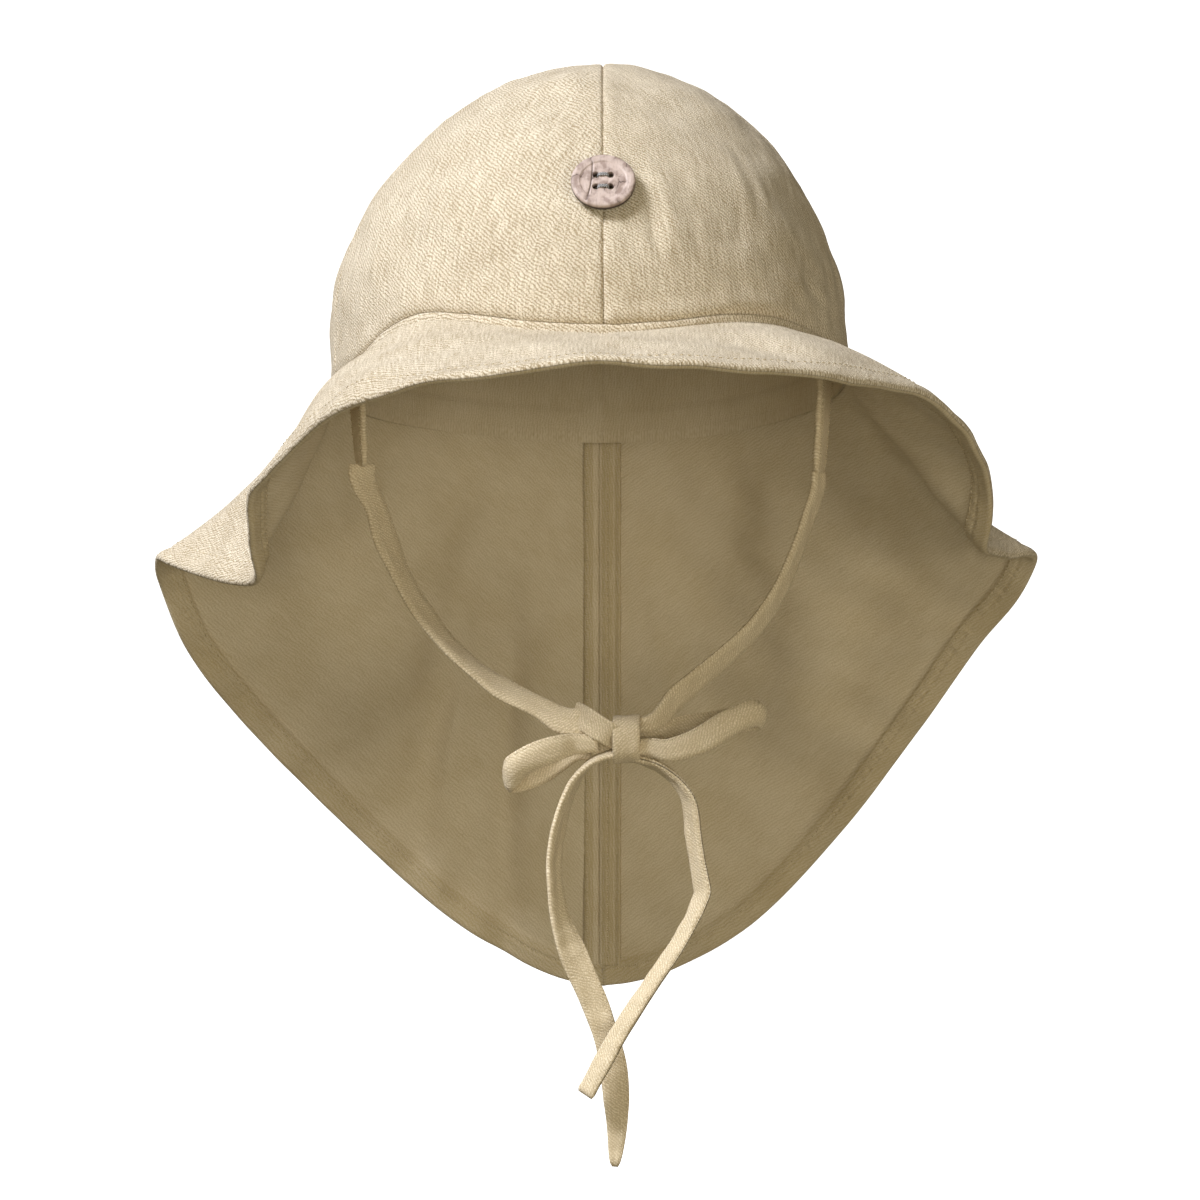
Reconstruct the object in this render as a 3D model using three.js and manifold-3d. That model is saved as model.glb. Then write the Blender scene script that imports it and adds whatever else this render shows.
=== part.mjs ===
// Small child's sun hat: a crown of four cloth panels, a short front brim that runs on into a long neck flap,
// ear tabs with chin ties knotted in a bow, and a four-hole wooden button on the brow seam.
// Millimetres, +Z up, the brow towards -Y and the wearer's right ear towards -X.
// The origin is the inside of the crown's apex, where the hat sits on a head.
import * as THREE from "three";
import { mergeVertices } from "three/addons/utils/BufferGeometryUtils.js";
import Module from "manifold-3d";

// Driving dimensions: crown
const crownRight = 80.9; // half width on the wearer's right, which slumps a little further out
const crownLeft = 74;
const crownLength = 176;
const crownHeight = 90; // apex down to the level where the walls stand upright
const sideSeamAngle = 75; // from the brow seam round to each side seam, degrees
const apexHole = 1.2; // radius left where the four panel points meet
const crownSlump = 2.6; // fullness low down on the wearer's right
const slumpTurn = 72; // where the slump is fullest, degrees down from the apex
const slumpSpread = 16;
const clothWall = 1.6;
const seamGap = 0.3;

// Driving dimensions: brim and neck flap
const brimReach = 43; // crown seam to the front edge, measured outwards
const wingReach = 62; // how far the flap's side corners stand out from the crown seam
const flapDrop = 183; // crown seam at the nape down to the hem
const seamStand = 2.5; // upright start of the cloth under the crown seam
const hemWidth = 9;
const hemTurn = 0.8; // extra cloth of the turned hem, on the inner face
const foldDepth = 8;
const foldFade = 1.7; // a fold is deepest at 1/foldFade of the drop and softens to the hem
const backSeamWidth = 13;
const backSeamWall = 1.2;

// Driving dimensions: ear tabs and ties
const tabAngle = 70;
const tabTopWidth = 16;
const tabEndWidth = 9;
const tabTuck = 5; // how far a tab reaches up behind the crown seam
const tabWall = 2.4;
const tabLean = 4; // degrees towards the cheek
const tabClearance = 0.5; // to the curved inside of the crown
const tabCorner = 2;
const rightTabDrop = 28;
const leftTabDrop = 36;
const tieWidth = 8;
const tieWall = 2;
const tieChamfer = 0.6;
const tieLead = 4; // straight start of a tie below its tab
const knotWidth = 16;
const knotHeight = 15;
const knotThickness = 11;
const knotRounding = 1.5;
const knotCentre = new THREE.Vector3(2.5, -47, -199);

// Driving dimensions: button
const buttonDiameter = 18;
const buttonThickness = 2.2;
const buttonDrop = 45.4; // apex down to the button's centre
const buttonDish = 0.5; // depth of the hollow inside its rim
const buttonRim = 2.2;
const buttonEdge = 0.5;
const buttonHole = 1.9;
const buttonHolePitch = 4;
const buttonShank = 1.2; // thread length between cloth and button
const shankRadius = 3.6;
const threadWall = 1.1;

// Level of the crown seam round the head, as shares of crownHeight below the apex
const crownSeamRows = [
  { angle: 0, right: 0.937, left: 0.937 },
  { angle: 15, right: 0.924, left: 0.923 },
  { angle: 28, right: 0.896, left: 0.896 },
  { angle: 40, right: 0.885, left: 0.892 },
  { angle: 50, right: 0.927, left: 0.911 },
  { angle: 56, right: 0.972, left: 0.927 },
  { angle: 62, right: 1.016, left: 0.948 },
  { angle: 70, right: 1.042, left: 0.978 },
  { angle: 78, right: 1.053, left: 0.998 },
  { angle: 90, right: 1.073, left: 1.029 },
  { angle: 120, right: 1.118, left: 1.096 },
  { angle: 150, right: 1.151, left: 1.151 },
  { angle: 180, right: 1.173, left: 1.173 },
];

// Edge of the front brim, measured from the crown seam as shares of brimReach.
// A negative angle is on the wearer's right. Bell is how far the section hollows (+) or crowns (-).
const brimRows = [
  { angle: -60, out: 0.76, sway: -0.16, down: 0.79, bell: -0.1 },
  { angle: -50, out: 0.78, sway: -0.18, down: 0.75, bell: -0.15 },
  { angle: -40, out: 0.87, sway: -0.14, down: 0.69, bell: -0.2 },
  { angle: -30, out: 0.94, sway: -0.06, down: 0.57, bell: -0.25 },
  { angle: -20, out: 0.98, sway: 0, down: 0.45, bell: -0.25 },
  { angle: -10, out: 1, sway: 0, down: 0.36, bell: -0.25 },
  { angle: 0, out: 1, sway: 0, down: 0.31, bell: -0.25 },
  { angle: 10, out: 1, sway: 0.02, down: 0.33, bell: -0.25 },
  { angle: 20, out: 0.98, sway: 0.02, down: 0.39, bell: -0.25 },
  { angle: 30, out: 0.96, sway: -0.02, down: 0.45, bell: -0.25 },
  { angle: 40, out: 0.92, sway: -0.04, down: 0.48, bell: -0.25 },
  { angle: 50, out: 0.91, sway: -0.02, down: 0.48, bell: -0.2 },
  { angle: 58, out: 0.96, sway: 0.02, down: 0.54, bell: -0.2 },
];

// Edge of the neck flap: out and sway as shares of wingReach, down as a share of flapDrop
const flapRows = [
  { angle: -172, out: 0.23, sway: -0.12, down: 0.973, bell: 0.3 },
  { angle: -162, out: 0.31, sway: -0.33, down: 0.878, bell: 0.3 },
  { angle: -147, out: 0.51, sway: -0.41, down: 0.722, bell: 0.3 },
  { angle: -131, out: 0.77, sway: -0.4, down: 0.55, bell: 0.3 },
  { angle: -117, out: 0.93, sway: -0.26, down: 0.417, bell: 0.25 },
  { angle: -106, out: 0.99, sway: -0.1, down: 0.304, bell: 0.12 },
  { angle: -100, out: 0.95, sway: -0.04, down: 0.27, bell: 0.1 },
  { angle: -95, out: 0.87, sway: 0.02, down: 0.279, bell: 0.1 },
  { angle: -89, out: 0.69, sway: 0.06, down: 0.306, bell: 0.1 },
  { angle: -83, out: 0.51, sway: 0.04, down: 0.325, bell: 0.15 },
  { angle: -78, out: 0.41, sway: -0.01, down: 0.321, bell: 0.1 },
  { angle: -73, out: 0.45, sway: -0.05, down: 0.268, bell: 0.05 },
  { angle: -67, out: 0.5, sway: -0.08, down: 0.213, bell: 0 },
  { angle: 66, out: 0.69, sway: 0.03, down: 0.156, bell: -0.15 },
  { angle: 73, out: 0.69, sway: 0.04, down: 0.202, bell: -0.1 },
  { angle: 79, out: 0.69, sway: 0.06, down: 0.256, bell: 0 },
  { angle: 84, out: 0.68, sway: 0.07, down: 0.294, bell: 0.05 },
  { angle: 90, out: 0.8, sway: 0.07, down: 0.295, bell: 0.1 },
  { angle: 96, out: 0.95, sway: 0.04, down: 0.286, bell: 0.1 },
  { angle: 101, out: 1.01, sway: -0.01, down: 0.295, bell: 0.1 },
  { angle: 108, out: 0.98, sway: -0.06, down: 0.352, bell: 0.15 },
  { angle: 119, out: 0.88, sway: -0.21, down: 0.416, bell: 0.2 },
  { angle: 133, out: 0.7, sway: -0.37, down: 0.554, bell: 0.3 },
  { angle: 148, out: 0.52, sway: -0.43, down: 0.717, bell: 0.3 },
  { angle: 162, out: 0.33, sway: -0.34, down: 0.887, bell: 0.3 },
  { angle: 172, out: 0.24, sway: -0.14, down: 0.976, bell: 0.3 },
  { angle: 180, out: 0.23, sway: 0, down: 1, bell: 0.3 },
];

// Soft upright folds of the flap: depth as a share of foldDepth, positive away from the neck
const foldRows = [
  { angle: -154, depth: 1, spread: 7 },
  { angle: -138, depth: -0.5, spread: 8 },
  { angle: -118, depth: 0.4, spread: 8 },
  { angle: 122, depth: 0.35, spread: 8 },
  { angle: 140, depth: -0.5, spread: 8 },
  { angle: 158, depth: 0.4, spread: 9 },
];

// Routes of the ties, bow loops and tails, chosen by hand. The ends at the knot run level, so that their
// faces stand 0.3 from its sides, and each tie starts from its tab.
const tieRightRoute = [
  [-67, -28, -131],
  [-63, -30, -143],
  [-57.3, -32, -154.9],
  [-50.5, -34, -165.4],
  [-41.6, -37, -175.3],
  [-29.9, -40, -184.2],
  [-18.5, -43.5, -190],
  [-10.5, -46.8, -194],
  [-5.8, -46.8, -194],
];
const tieLeftRoute = [
  [60.6, -28, -134],
  [56.2, -30, -146],
  [51.2, -32, -157],
  [44.9, -34, -166.2],
  [36.6, -37, -174.4],
  [27.4, -40, -182],
  [20.5, -43.2, -187.8],
  [14.8, -46.8, -193.6],
  [10.8, -46.8, -193.6],
];
const loopRightRoute = [
  [-5.8, -49.8, -200.3],
  [-8.2, -49.8, -200.3],
  [-13, -52.5, -201.4],
  [-20, -53.5, -203.8],
  [-25.8, -52, -207.5],
  [-27.2, -48.5, -210],
  [-24.5, -45, -210.5],
  [-18.5, -43.6, -208.6],
  [-12, -43.2, -205],
  [-8.2, -43.6, -203],
  [-5.8, -43.6, -203],
];
const loopLeftRoute = [
  [10.8, -49.8, -201.2],
  [13.4, -49.8, -201.2],
  [18.5, -52.5, -202],
  [27, -53.5, -199.5],
  [36.5, -53, -194],
  [43.5, -51, -191.3],
  [45.6, -47.8, -191.8],
  [42.2, -44.8, -192.8],
  [34, -43, -194.6],
  [25, -42, -196],
  [18, -42.3, -197.4],
  [13.4, -42.8, -198.2],
  [10.8, -42.8, -198.2],
];
const tailRightRoute = [
  [-5.8, -46.8, -206],
  [-7, -46.8, -206.6],
  [-9, -48.6, -211],
  [-11.3, -50, -217.5],
  [-13.3, -50.5, -226],
  [-14.2, -50.5, -234],
  [-13.6, -50.5, -243],
  [-12.2, -50.5, -251],
  [-8, -50.5, -262],
  [-1.7, -50.5, -276.5],
  [2.6, -50.5, -291],
  [4, -50.5, -308],
  [3.4, -50.5, -321.5],
];
const tailLeftRoute = [
  [10.8, -46.8, -206],
  [15, -46.8, -206],
  [21.6, -48.2, -210.4],
  [25.4, -50, -217.5],
  [26.8, -52, -226],
  [27.4, -54, -239],
  [25.6, -55.2, -248.5],
  [19, -56, -261.5],
  [6.2, -56.6, -281.5],
  [-5.2, -56.6, -300],
];

// Fineness of the facets
const crownAngleStep = 6.5; // degrees
const crownRowSteps = 10;
const flapAngleSteps = 92;
const flapRowSteps = 7;
const cordStep = 5;

const toRadians = THREE.MathUtils.degToRad;
const crownCentre = clothWall - crownHeight;

// Value of a column at an angle, by a smooth curve through rows that close round the head
function columnAt(rows, column, angle) {
  const count = rows.length;
  const at = rows.findIndex((row) => row.angle >= angle);
  const around = [-2, -1, 0, 1].map((step) => {
    const index = at + step;
    const row = rows[(index + count) % count];
    const turns = Math.floor(index / count) * 360;
    return { angle: row.angle + turns, value: row[column] };
  });
  const [before, start, end, after] = around;
  const width = end.angle - start.angle;
  const share = (angle - start.angle) / width;
  const startSlope = ((end.value - before.value) / (end.angle - before.angle)) * width;
  const endSlope = ((after.value - start.value) / (after.angle - start.angle)) * width;
  const square = share * share;
  const cube = square * share;
  return (
    (2 * cube - 3 * square + 1) * start.value +
    (cube - 2 * square + share) * startSlope +
    (3 * square - 2 * cube) * end.value +
    (cube - square) * endSlope
  );
}

// The seam's levels as one ring of rows from the nape round the wearer's right, the brow and the left
const seamRing = [
  ...crownSeamRows
    .slice(1, -1)
    .reverse()
    .map((row) => ({ angle: -row.angle, drop: row.right * crownHeight })),
  ...crownSeamRows.map((row) => ({ angle: row.angle, drop: row.left * crownHeight })),
];

const hemRing = [
  ...flapRows.map((row) => ({
    angle: row.angle,
    out: row.out * wingReach,
    sway: row.sway * wingReach,
    down: row.down * flapDrop,
    bell: row.bell,
  })),
  ...brimRows.map((row) => ({
    angle: row.angle,
    out: row.out * brimReach,
    sway: row.sway * brimReach,
    down: row.down * brimReach,
    bell: row.bell,
  })),
].sort((one, other) => one.angle - other.angle);

// Angles run from -180 at the nape, over -90 at the wearer's right ear and 0 at the brow, to 180
function wrapAngle(angle) {
  return angle > 180 ? angle - 360 : angle;
}

function sideHalf(angle) {
  return angle < 0 ? crownRight : crownLeft;
}

function seamLevel(angle) {
  return clothWall - columnAt(seamRing, "drop", wrapAngle(angle));
}

// A point of the crown: share 0 at the apex and 1 at the seam, inset 0 outside and clothWall inside
function crownPoint(angle, share, inset) {
  const rise = (seamLevel(angle) - crownCentre) / crownHeight;
  const seamTurn = rise > 0 ? Math.acos(rise) : Math.PI / 2 - rise;
  const turn = seamTurn * share;
  const round = Math.min(turn, Math.PI / 2);
  const radians = toRadians(angle);
  const rootInset = share < 1 ? inset : 0; // the edge along the seam is cut level
  const below = (THREE.MathUtils.radToDeg(turn) - slumpTurn) / slumpSpread;
  const slump = angle < 0 ? crownSlump * Math.exp(-below * below) * Math.sin(radians) ** 2 : 0;
  return new THREE.Vector3(
    ((sideHalf(angle) - inset) * Math.sin(round) + slump) * Math.sin(radians),
    -(crownLength / 2 - inset) * Math.sin(round) * Math.cos(radians),
    crownCentre + (crownHeight - rootInset) * Math.cos(round) - (turn - round) * crownHeight,
  );
}

// Outward direction, level, of the crown seam at an angle, and the direction along it towards the nape
function seamFrame(angle) {
  const radians = toRadians(angle);
  const half = sideHalf(angle);
  const outward = new THREE.Vector3(
    Math.sin(radians) / half,
    -Math.cos(radians) / (crownLength / 2),
    0,
  ).normalize();
  const along = new THREE.Vector3(
    half * Math.cos(radians),
    (crownLength / 2) * Math.sin(radians),
    0,
  ).normalize();
  if (angle < 0) along.negate();
  return { outward, along };
}

// Bending of the flap out of its plain section by the soft folds, at a share of its depth
function foldAt(angle, share) {
  let bend = 0;
  for (const fold of foldRows) {
    const away = Math.abs(angle - fold.angle);
    const near = Math.min(away, 360 - away) / fold.spread;
    bend += fold.depth * foldDepth * Math.exp(-near * near);
  }
  return bend * Math.sin(share * foldFade * (Math.PI / 2)) ** 2;
}

// A point of the outer face of brim and flap: share 0 at the foot of the seam stand and 1 at the hem
function flapPoint(givenAngle, share) {
  const angle = wrapAngle(givenAngle);
  const { outward, along } = seamFrame(angle);
  const bell = columnAt(hemRing, "bell", angle);
  const bow = bell * (share * share - share);
  const start = crownPoint(angle, 1, 0);
  const stand = seamGap + seamStand;
  start.z = seamLevel(angle) - stand;
  return start
    .addScaledVector(outward, columnAt(hemRing, "out", angle) * (share + bow) + foldAt(angle, share))
    .addScaledVector(along, columnAt(hemRing, "sway", angle) * share * share)
    .add(new THREE.Vector3(0, 0, -(columnAt(hemRing, "down", angle) - stand) * (share - bow)));
}

// Closed solid from two grids of points, outer and inner; the columns may close into a ring
function wallSolid(outer, inner, ring) {
  const rows = outer.length;
  const columns = outer[0].length;
  const points = [...outer.flat(), ...inner.flat()];
  const inside = rows * columns;
  const faces = [];
  const quad = (a, b, c, d) => faces.push(a, b, c, a, c, d);
  const last = ring ? columns : columns - 1;
  for (let row = 0; row < rows - 1; row++) {
    for (let column = 0; column < last; column++) {
      const next = (column + 1) % columns;
      const a = row * columns + column;
      const b = row * columns + next;
      const c = (row + 1) * columns + next;
      const d = (row + 1) * columns + column;
      quad(a, d, c, b);
      quad(inside + a, inside + b, inside + c, inside + d);
    }
  }
  for (let column = 0; column < last; column++) {
    const next = (column + 1) % columns;
    const foot = (rows - 1) * columns;
    quad(column, next, inside + next, inside + column);
    quad(foot + next, foot + column, inside + foot + column, inside + foot + next);
  }
  if (!ring) {
    for (let row = 0; row < rows - 1; row++) {
      const a = row * columns;
      const b = (row + 1) * columns;
      const far = columns - 1;
      quad(a, inside + a, inside + b, b);
      quad(a + far, b + far, inside + b + far, inside + a + far);
    }
  }
  const geometry = new THREE.BufferGeometry();
  geometry.setAttribute(
    "position",
    new THREE.Float32BufferAttribute(points.flatMap((point) => point.toArray()), 3),
  );
  geometry.setIndex(faces);
  return geometry;
}

// Outward directions at the points of a grid whose columns close into a ring
function ringNormals(grid) {
  const rows = grid.length;
  const columns = grid[0].length;
  return grid.map((line, row) =>
    line.map((point, column) => {
      const left = line[(column + columns - 1) % columns];
      const right = line[(column + 1) % columns];
      const above = grid[Math.max(row - 1, 0)][column];
      const below = grid[Math.min(row + 1, rows - 1)][column];
      const across = new THREE.Vector3().subVectors(right, left);
      const downward = new THREE.Vector3().subVectors(below, above);
      return downward.cross(across).normalize();
    }),
  );
}

function crownPanel(fromAngle, toAngle) {
  const columns = Math.ceil((toAngle - fromAngle) / crownAngleStep);
  const middle = (fromAngle + toAngle) / 2;
  const first = apexHole / sideHalf(middle);
  const grid = (inset) => {
    const lines = [];
    for (let row = 0; row <= crownRowSteps; row++) {
      const line = [];
      const share = THREE.MathUtils.lerp(first, 1, row / crownRowSteps);
      const { x, y } = crownPoint(middle, share, 0);
      const trim = THREE.MathUtils.radToDeg(seamGap / 2 / Math.hypot(x, y));
      for (let column = 0; column <= columns; column++) {
        const angle = THREE.MathUtils.lerp(fromAngle + trim, toAngle - trim, column / columns);
        line.push(crownPoint(angle, share, inset));
      }
      lines.push(line);
    }
    return lines;
  };
  return wallSolid(grid(0), grid(clothWall), false);
}

// Columns stand closer together at the two sides, where the flap folds
function flapAngles() {
  const crowding = 12;
  return Array.from({ length: flapAngleSteps }, (_, step) => {
    const turn = step / flapAngleSteps;
    return -180 + 360 * turn + crowding * Math.sin(4 * Math.PI * turn);
  });
}

function brimAndFlap() {
  const angles = flapAngles();
  const stands = angles.map((angle) => {
    const point = flapPoint(angle, 0);
    point.z += seamStand;
    return point;
  });
  const outer = [stands];
  for (let row = 0; row <= flapRowSteps + 2; row++) {
    outer.push(
      angles.map((angle) => {
        const length = flapPoint(angle, 0).distanceTo(flapPoint(angle, 1));
        const hemShare = hemWidth / length;
        const turnShare = hemTurn / length;
        const open = 1 - hemShare - turnShare;
        if (row <= flapRowSteps) return flapPoint(angle, (open * row) / flapRowSteps);
        return flapPoint(angle, row === flapRowSteps + 1 ? 1 - hemShare : 1);
      }),
    );
  }
  const normals = ringNormals(outer);
  const inner = outer.map((line, row) => {
    const wall = clothWall + (row > flapRowSteps + 1 ? hemTurn : 0);
    return line.map((point, column) => point.clone().addScaledVector(normals[row][column], -wall));
  });
  return wallSolid(outer, inner, true);
}

// Angle near the nape at which the flap, at a share of its depth, lies a given way off the middle
function napeAngle(offset, share) {
  let inner = 180;
  let outer = offset < 0 ? 210 : 150;
  for (let step = 0; step < 30; step++) {
    const middle = (inner + outer) / 2;
    if (Math.abs(flapPoint(middle, share).x) < Math.abs(offset)) inner = middle;
    else outer = middle;
  }
  return (inner + outer) / 2;
}

// Felled seam down the middle of the flap's inner face, from the crown seam to the hem
function backSeam() {
  const rows = 12;
  const columns = 4;
  const length = flapPoint(180, 0).distanceTo(flapPoint(180, 1));
  const first = seamGap / length;
  const last = 1 - (hemWidth + hemTurn + 2 * seamGap) / length;
  const face = (depth) => {
    const lines = [];
    for (let row = 0; row <= rows; row++) {
      const share = THREE.MathUtils.lerp(first, last, row / rows);
      const line = [];
      for (let column = 0; column <= columns; column++) {
        const offset = backSeamWidth * (0.5 - column / columns);
        const angle = napeAngle(offset, share);
        const point = flapPoint(angle, share);
        const probe = 0.01;
        const across = flapPoint(angle + probe, share).sub(flapPoint(angle - probe, share));
        const downward = flapPoint(angle, share + probe).sub(flapPoint(angle, share - probe));
        const outward = downward.cross(across).normalize();
        line.push(point.addScaledVector(outward, -depth));
      }
      lines.push(line);
    }
    return lines;
  };
  const seat = clothWall + seamGap;
  return wallSolid(face(seat), face(seat + backSeamWall), false);
}

// Placing of a tab: its own X runs along the seam, its Y up from the seam's level and its Z towards the head
function tabFrame(side) {
  const angle = side * tabAngle;
  const inward = seamFrame(angle).outward.negate();
  const upward = new THREE.Vector3(0, 0, 1);
  const across = upward.clone().cross(inward);
  const sag = tabTopWidth ** 2 / 8 / Math.min(sideHalf(angle), crownLength / 2);
  const tipped = tabTuck * Math.sin(toRadians(tabLean));
  const seat = crownPoint(angle, 1, clothWall).addScaledVector(inward, tabClearance + sag + tipped);
  return new THREE.Matrix4()
    .makeBasis(across, upward, inward)
    .setPosition(seat)
    .multiply(new THREE.Matrix4().makeRotationX(toRadians(-tabLean)));
}

// Folded strip of cloth that hangs from the crown seam in front of the ear and takes the tie
function earTab(side, drop) {
  const halfEnd = tabEndWidth / 2;
  const outline = new THREE.Shape();
  outline.moveTo(-tabTopWidth / 2, tabTuck);
  outline.lineTo(-halfEnd, tabCorner - drop);
  outline.quadraticCurveTo(-halfEnd, -drop, tabCorner - halfEnd, -drop);
  outline.lineTo(halfEnd - tabCorner, -drop);
  outline.quadraticCurveTo(halfEnd, -drop, halfEnd, tabCorner - drop);
  outline.lineTo(tabTopWidth / 2, tabTuck);
  outline.closePath();
  const settings = { depth: tabWall, bevelEnabled: false, curveSegments: 3 };
  return new THREE.ExtrudeGeometry(outline, settings).applyMatrix4(tabFrame(side));
}

// The route of a tie with its straight start below the tab
function fromTab(side, drop, route) {
  const frame = tabFrame(side);
  const starts = [seamGap, seamGap + tieLead].map((below) =>
    new THREE.Vector3(0, -drop - below, tabWall / 2).applyMatrix4(frame).toArray(),
  );
  return [...starts, ...route];
}

// Flat tube along a route, its broad side turned to lie along a given direction half way
function flatCord(route, broadside) {
  const path = new THREE.CatmullRomCurve3(route.map((point) => new THREE.Vector3(...point)));
  const steps = Math.ceil(path.getLength() / cordStep);
  const frames = path.computeFrenetFrames(steps, false);
  const middle = Math.floor(steps / 2);
  const roll = Math.atan2(
    broadside.dot(frames.binormals[middle]),
    broadside.dot(frames.normals[middle]),
  );
  const half = tieWidth / 2;
  const thick = tieWall / 2;
  const corners = [
    [half, thick - tieChamfer],
    [half - tieChamfer, thick],
    [tieChamfer - half, thick],
    [-half, thick - tieChamfer],
    [-half, tieChamfer - thick],
    [tieChamfer - half, -thick],
    [half - tieChamfer, -thick],
    [half, tieChamfer - thick],
  ];
  const section = new THREE.Shape(
    corners.map(([x, y]) => new THREE.Vector2(x, y).rotateAround(new THREE.Vector2(), roll)),
  );
  return new THREE.ExtrudeGeometry(section, { steps, extrudePath: path, bevelEnabled: false });
}

function roundedBlock(width, height, thickness, rounding) {
  const outline = new THREE.Shape();
  const halfWidth = width / 2 - rounding;
  const halfHeight = height / 2 - rounding;
  const corner = rounding * 2;
  outline.moveTo(corner - halfWidth, -halfHeight);
  outline.lineTo(halfWidth - corner, -halfHeight);
  outline.quadraticCurveTo(halfWidth, -halfHeight, halfWidth, corner - halfHeight);
  outline.lineTo(halfWidth, halfHeight - corner);
  outline.quadraticCurveTo(halfWidth, halfHeight, halfWidth - corner, halfHeight);
  outline.lineTo(corner - halfWidth, halfHeight);
  outline.quadraticCurveTo(-halfWidth, halfHeight, -halfWidth, halfHeight - corner);
  outline.lineTo(-halfWidth, corner - halfHeight);
  outline.quadraticCurveTo(-halfWidth, -halfHeight, corner - halfWidth, -halfHeight);
  const geometry = new THREE.ExtrudeGeometry(outline, {
    depth: thickness - 2 * rounding,
    bevelSize: rounding,
    bevelThickness: rounding,
    bevelSegments: 2,
    curveSegments: 3,
  });
  return geometry.translate(0, 0, rounding - thickness / 2).rotateX(Math.PI / 2);
}

const wasm = await Module();
wasm.setup();

// A three.js geometry as a manifold-3d solid, and back
function solidFrom(geometry) {
  const bare = geometry.clone();
  bare.deleteAttribute("normal");
  bare.deleteAttribute("uv");
  const merged = mergeVertices(bare, 1e-4);
  return new wasm.Manifold(
    new wasm.Mesh({
      numProp: 3,
      vertProperties: new Float32Array(merged.attributes.position.array),
      triVerts: new Uint32Array(merged.index.array),
    }),
  );
}

function geometryFrom(solid) {
  const mesh = solid.getMesh();
  const geometry = new THREE.BufferGeometry();
  geometry.setAttribute("position", new THREE.BufferAttribute(mesh.vertProperties, 3));
  geometry.setIndex(new THREE.BufferAttribute(mesh.triVerts, 1));
  return geometry;
}

const holePlaces = [-1, 1].flatMap((x) =>
  [-1, 1].map((y) => [(x * buttonHolePitch) / 2, (y * buttonHolePitch) / 2]),
);

// Dished disc with four sewing holes, its face towards +Z and its back at height 0
function buttonGeometry() {
  const radius = buttonDiameter / 2;
  const floor = buttonThickness - buttonDish;
  const profile = [
    [0, 0],
    [radius - buttonEdge, 0],
    [radius, buttonEdge],
    [radius, buttonThickness - buttonEdge],
    [radius - buttonEdge, buttonThickness],
    [radius - buttonRim, buttonThickness],
    [radius - buttonRim - buttonEdge, floor],
    [0, floor],
  ].map(([x, y]) => new THREE.Vector2(x, y));
  let solid = solidFrom(new THREE.LatheGeometry(profile, 32).rotateX(Math.PI / 2));
  for (const [x, y] of holePlaces) {
    const length = 3 * buttonThickness;
    const drill = new THREE.CylinderGeometry(buttonHole / 2, buttonHole / 2, length, 10);
    solid = solid.subtract(solidFrom(drill.rotateX(Math.PI / 2).translate(x, y, 0)));
  }
  return geometryFrom(solid);
}

// Sewing thread: a stub under each hole rises through it, two bars cross the face, and a shank sits below
function threadGeometry() {
  const top = buttonThickness - buttonDish + seamGap;
  const foot = seamGap - buttonShank;
  const sides = 8;
  const shank = new THREE.CylinderGeometry(shankRadius, shankRadius, -seamGap - foot, 12);
  let solid = solidFrom(shank.rotateX(Math.PI / 2).translate(0, 0, (foot - seamGap) / 2));
  for (const [x, y] of holePlaces) {
    const height = top + threadWall / 2 + seamGap;
    const leg = new THREE.CylinderGeometry(threadWall / 2, threadWall / 2, height + seamGap, sides);
    const centre = (height - 3 * seamGap) / 2;
    solid = solid.add(solidFrom(leg.rotateX(Math.PI / 2).translate(x, y, centre)));
  }
  for (const y of [-1, 1]) {
    const bar = new THREE.BoxGeometry(buttonHolePitch + threadWall, threadWall, threadWall);
    const level = top + threadWall / 2;
    solid = solid.add(solidFrom(bar.translate(0, (y * buttonHolePitch) / 2, level)));
  }
  return geometryFrom(solid);
}

function material(colour, roughness) {
  return new THREE.MeshStandardMaterial({ color: colour, roughness, metalness: 0 });
}

function addMesh(parent, name, geometry, look) {
  const mesh = new THREE.Mesh(geometry, look);
  mesh.name = name;
  parent.add(mesh);
  return mesh;
}

function addCrown(hat) {
  const lit = material(0xe0d6ba, 0.9);
  const shaded = material(0xd2c5a1, 0.9);
  const panels = new THREE.Group();
  addMesh(panels, "crown_front_right", crownPanel(-sideSeamAngle, 0), lit);
  addMesh(panels, "crown_front_left", crownPanel(0, sideSeamAngle), shaded);
  addMesh(panels, "crown_back_right", crownPanel(-180, -sideSeamAngle), lit);
  addMesh(panels, "crown_back_left", crownPanel(sideSeamAngle, 180), shaded);
  hat.add(panels);
}

function addFlap(hat) {
  addMesh(hat, "brim_and_flap", brimAndFlap(), material(0xd4c8a6, 0.9));
  addMesh(hat, "back_seam", backSeam(), material(0xb09c70, 0.9));
}

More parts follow.
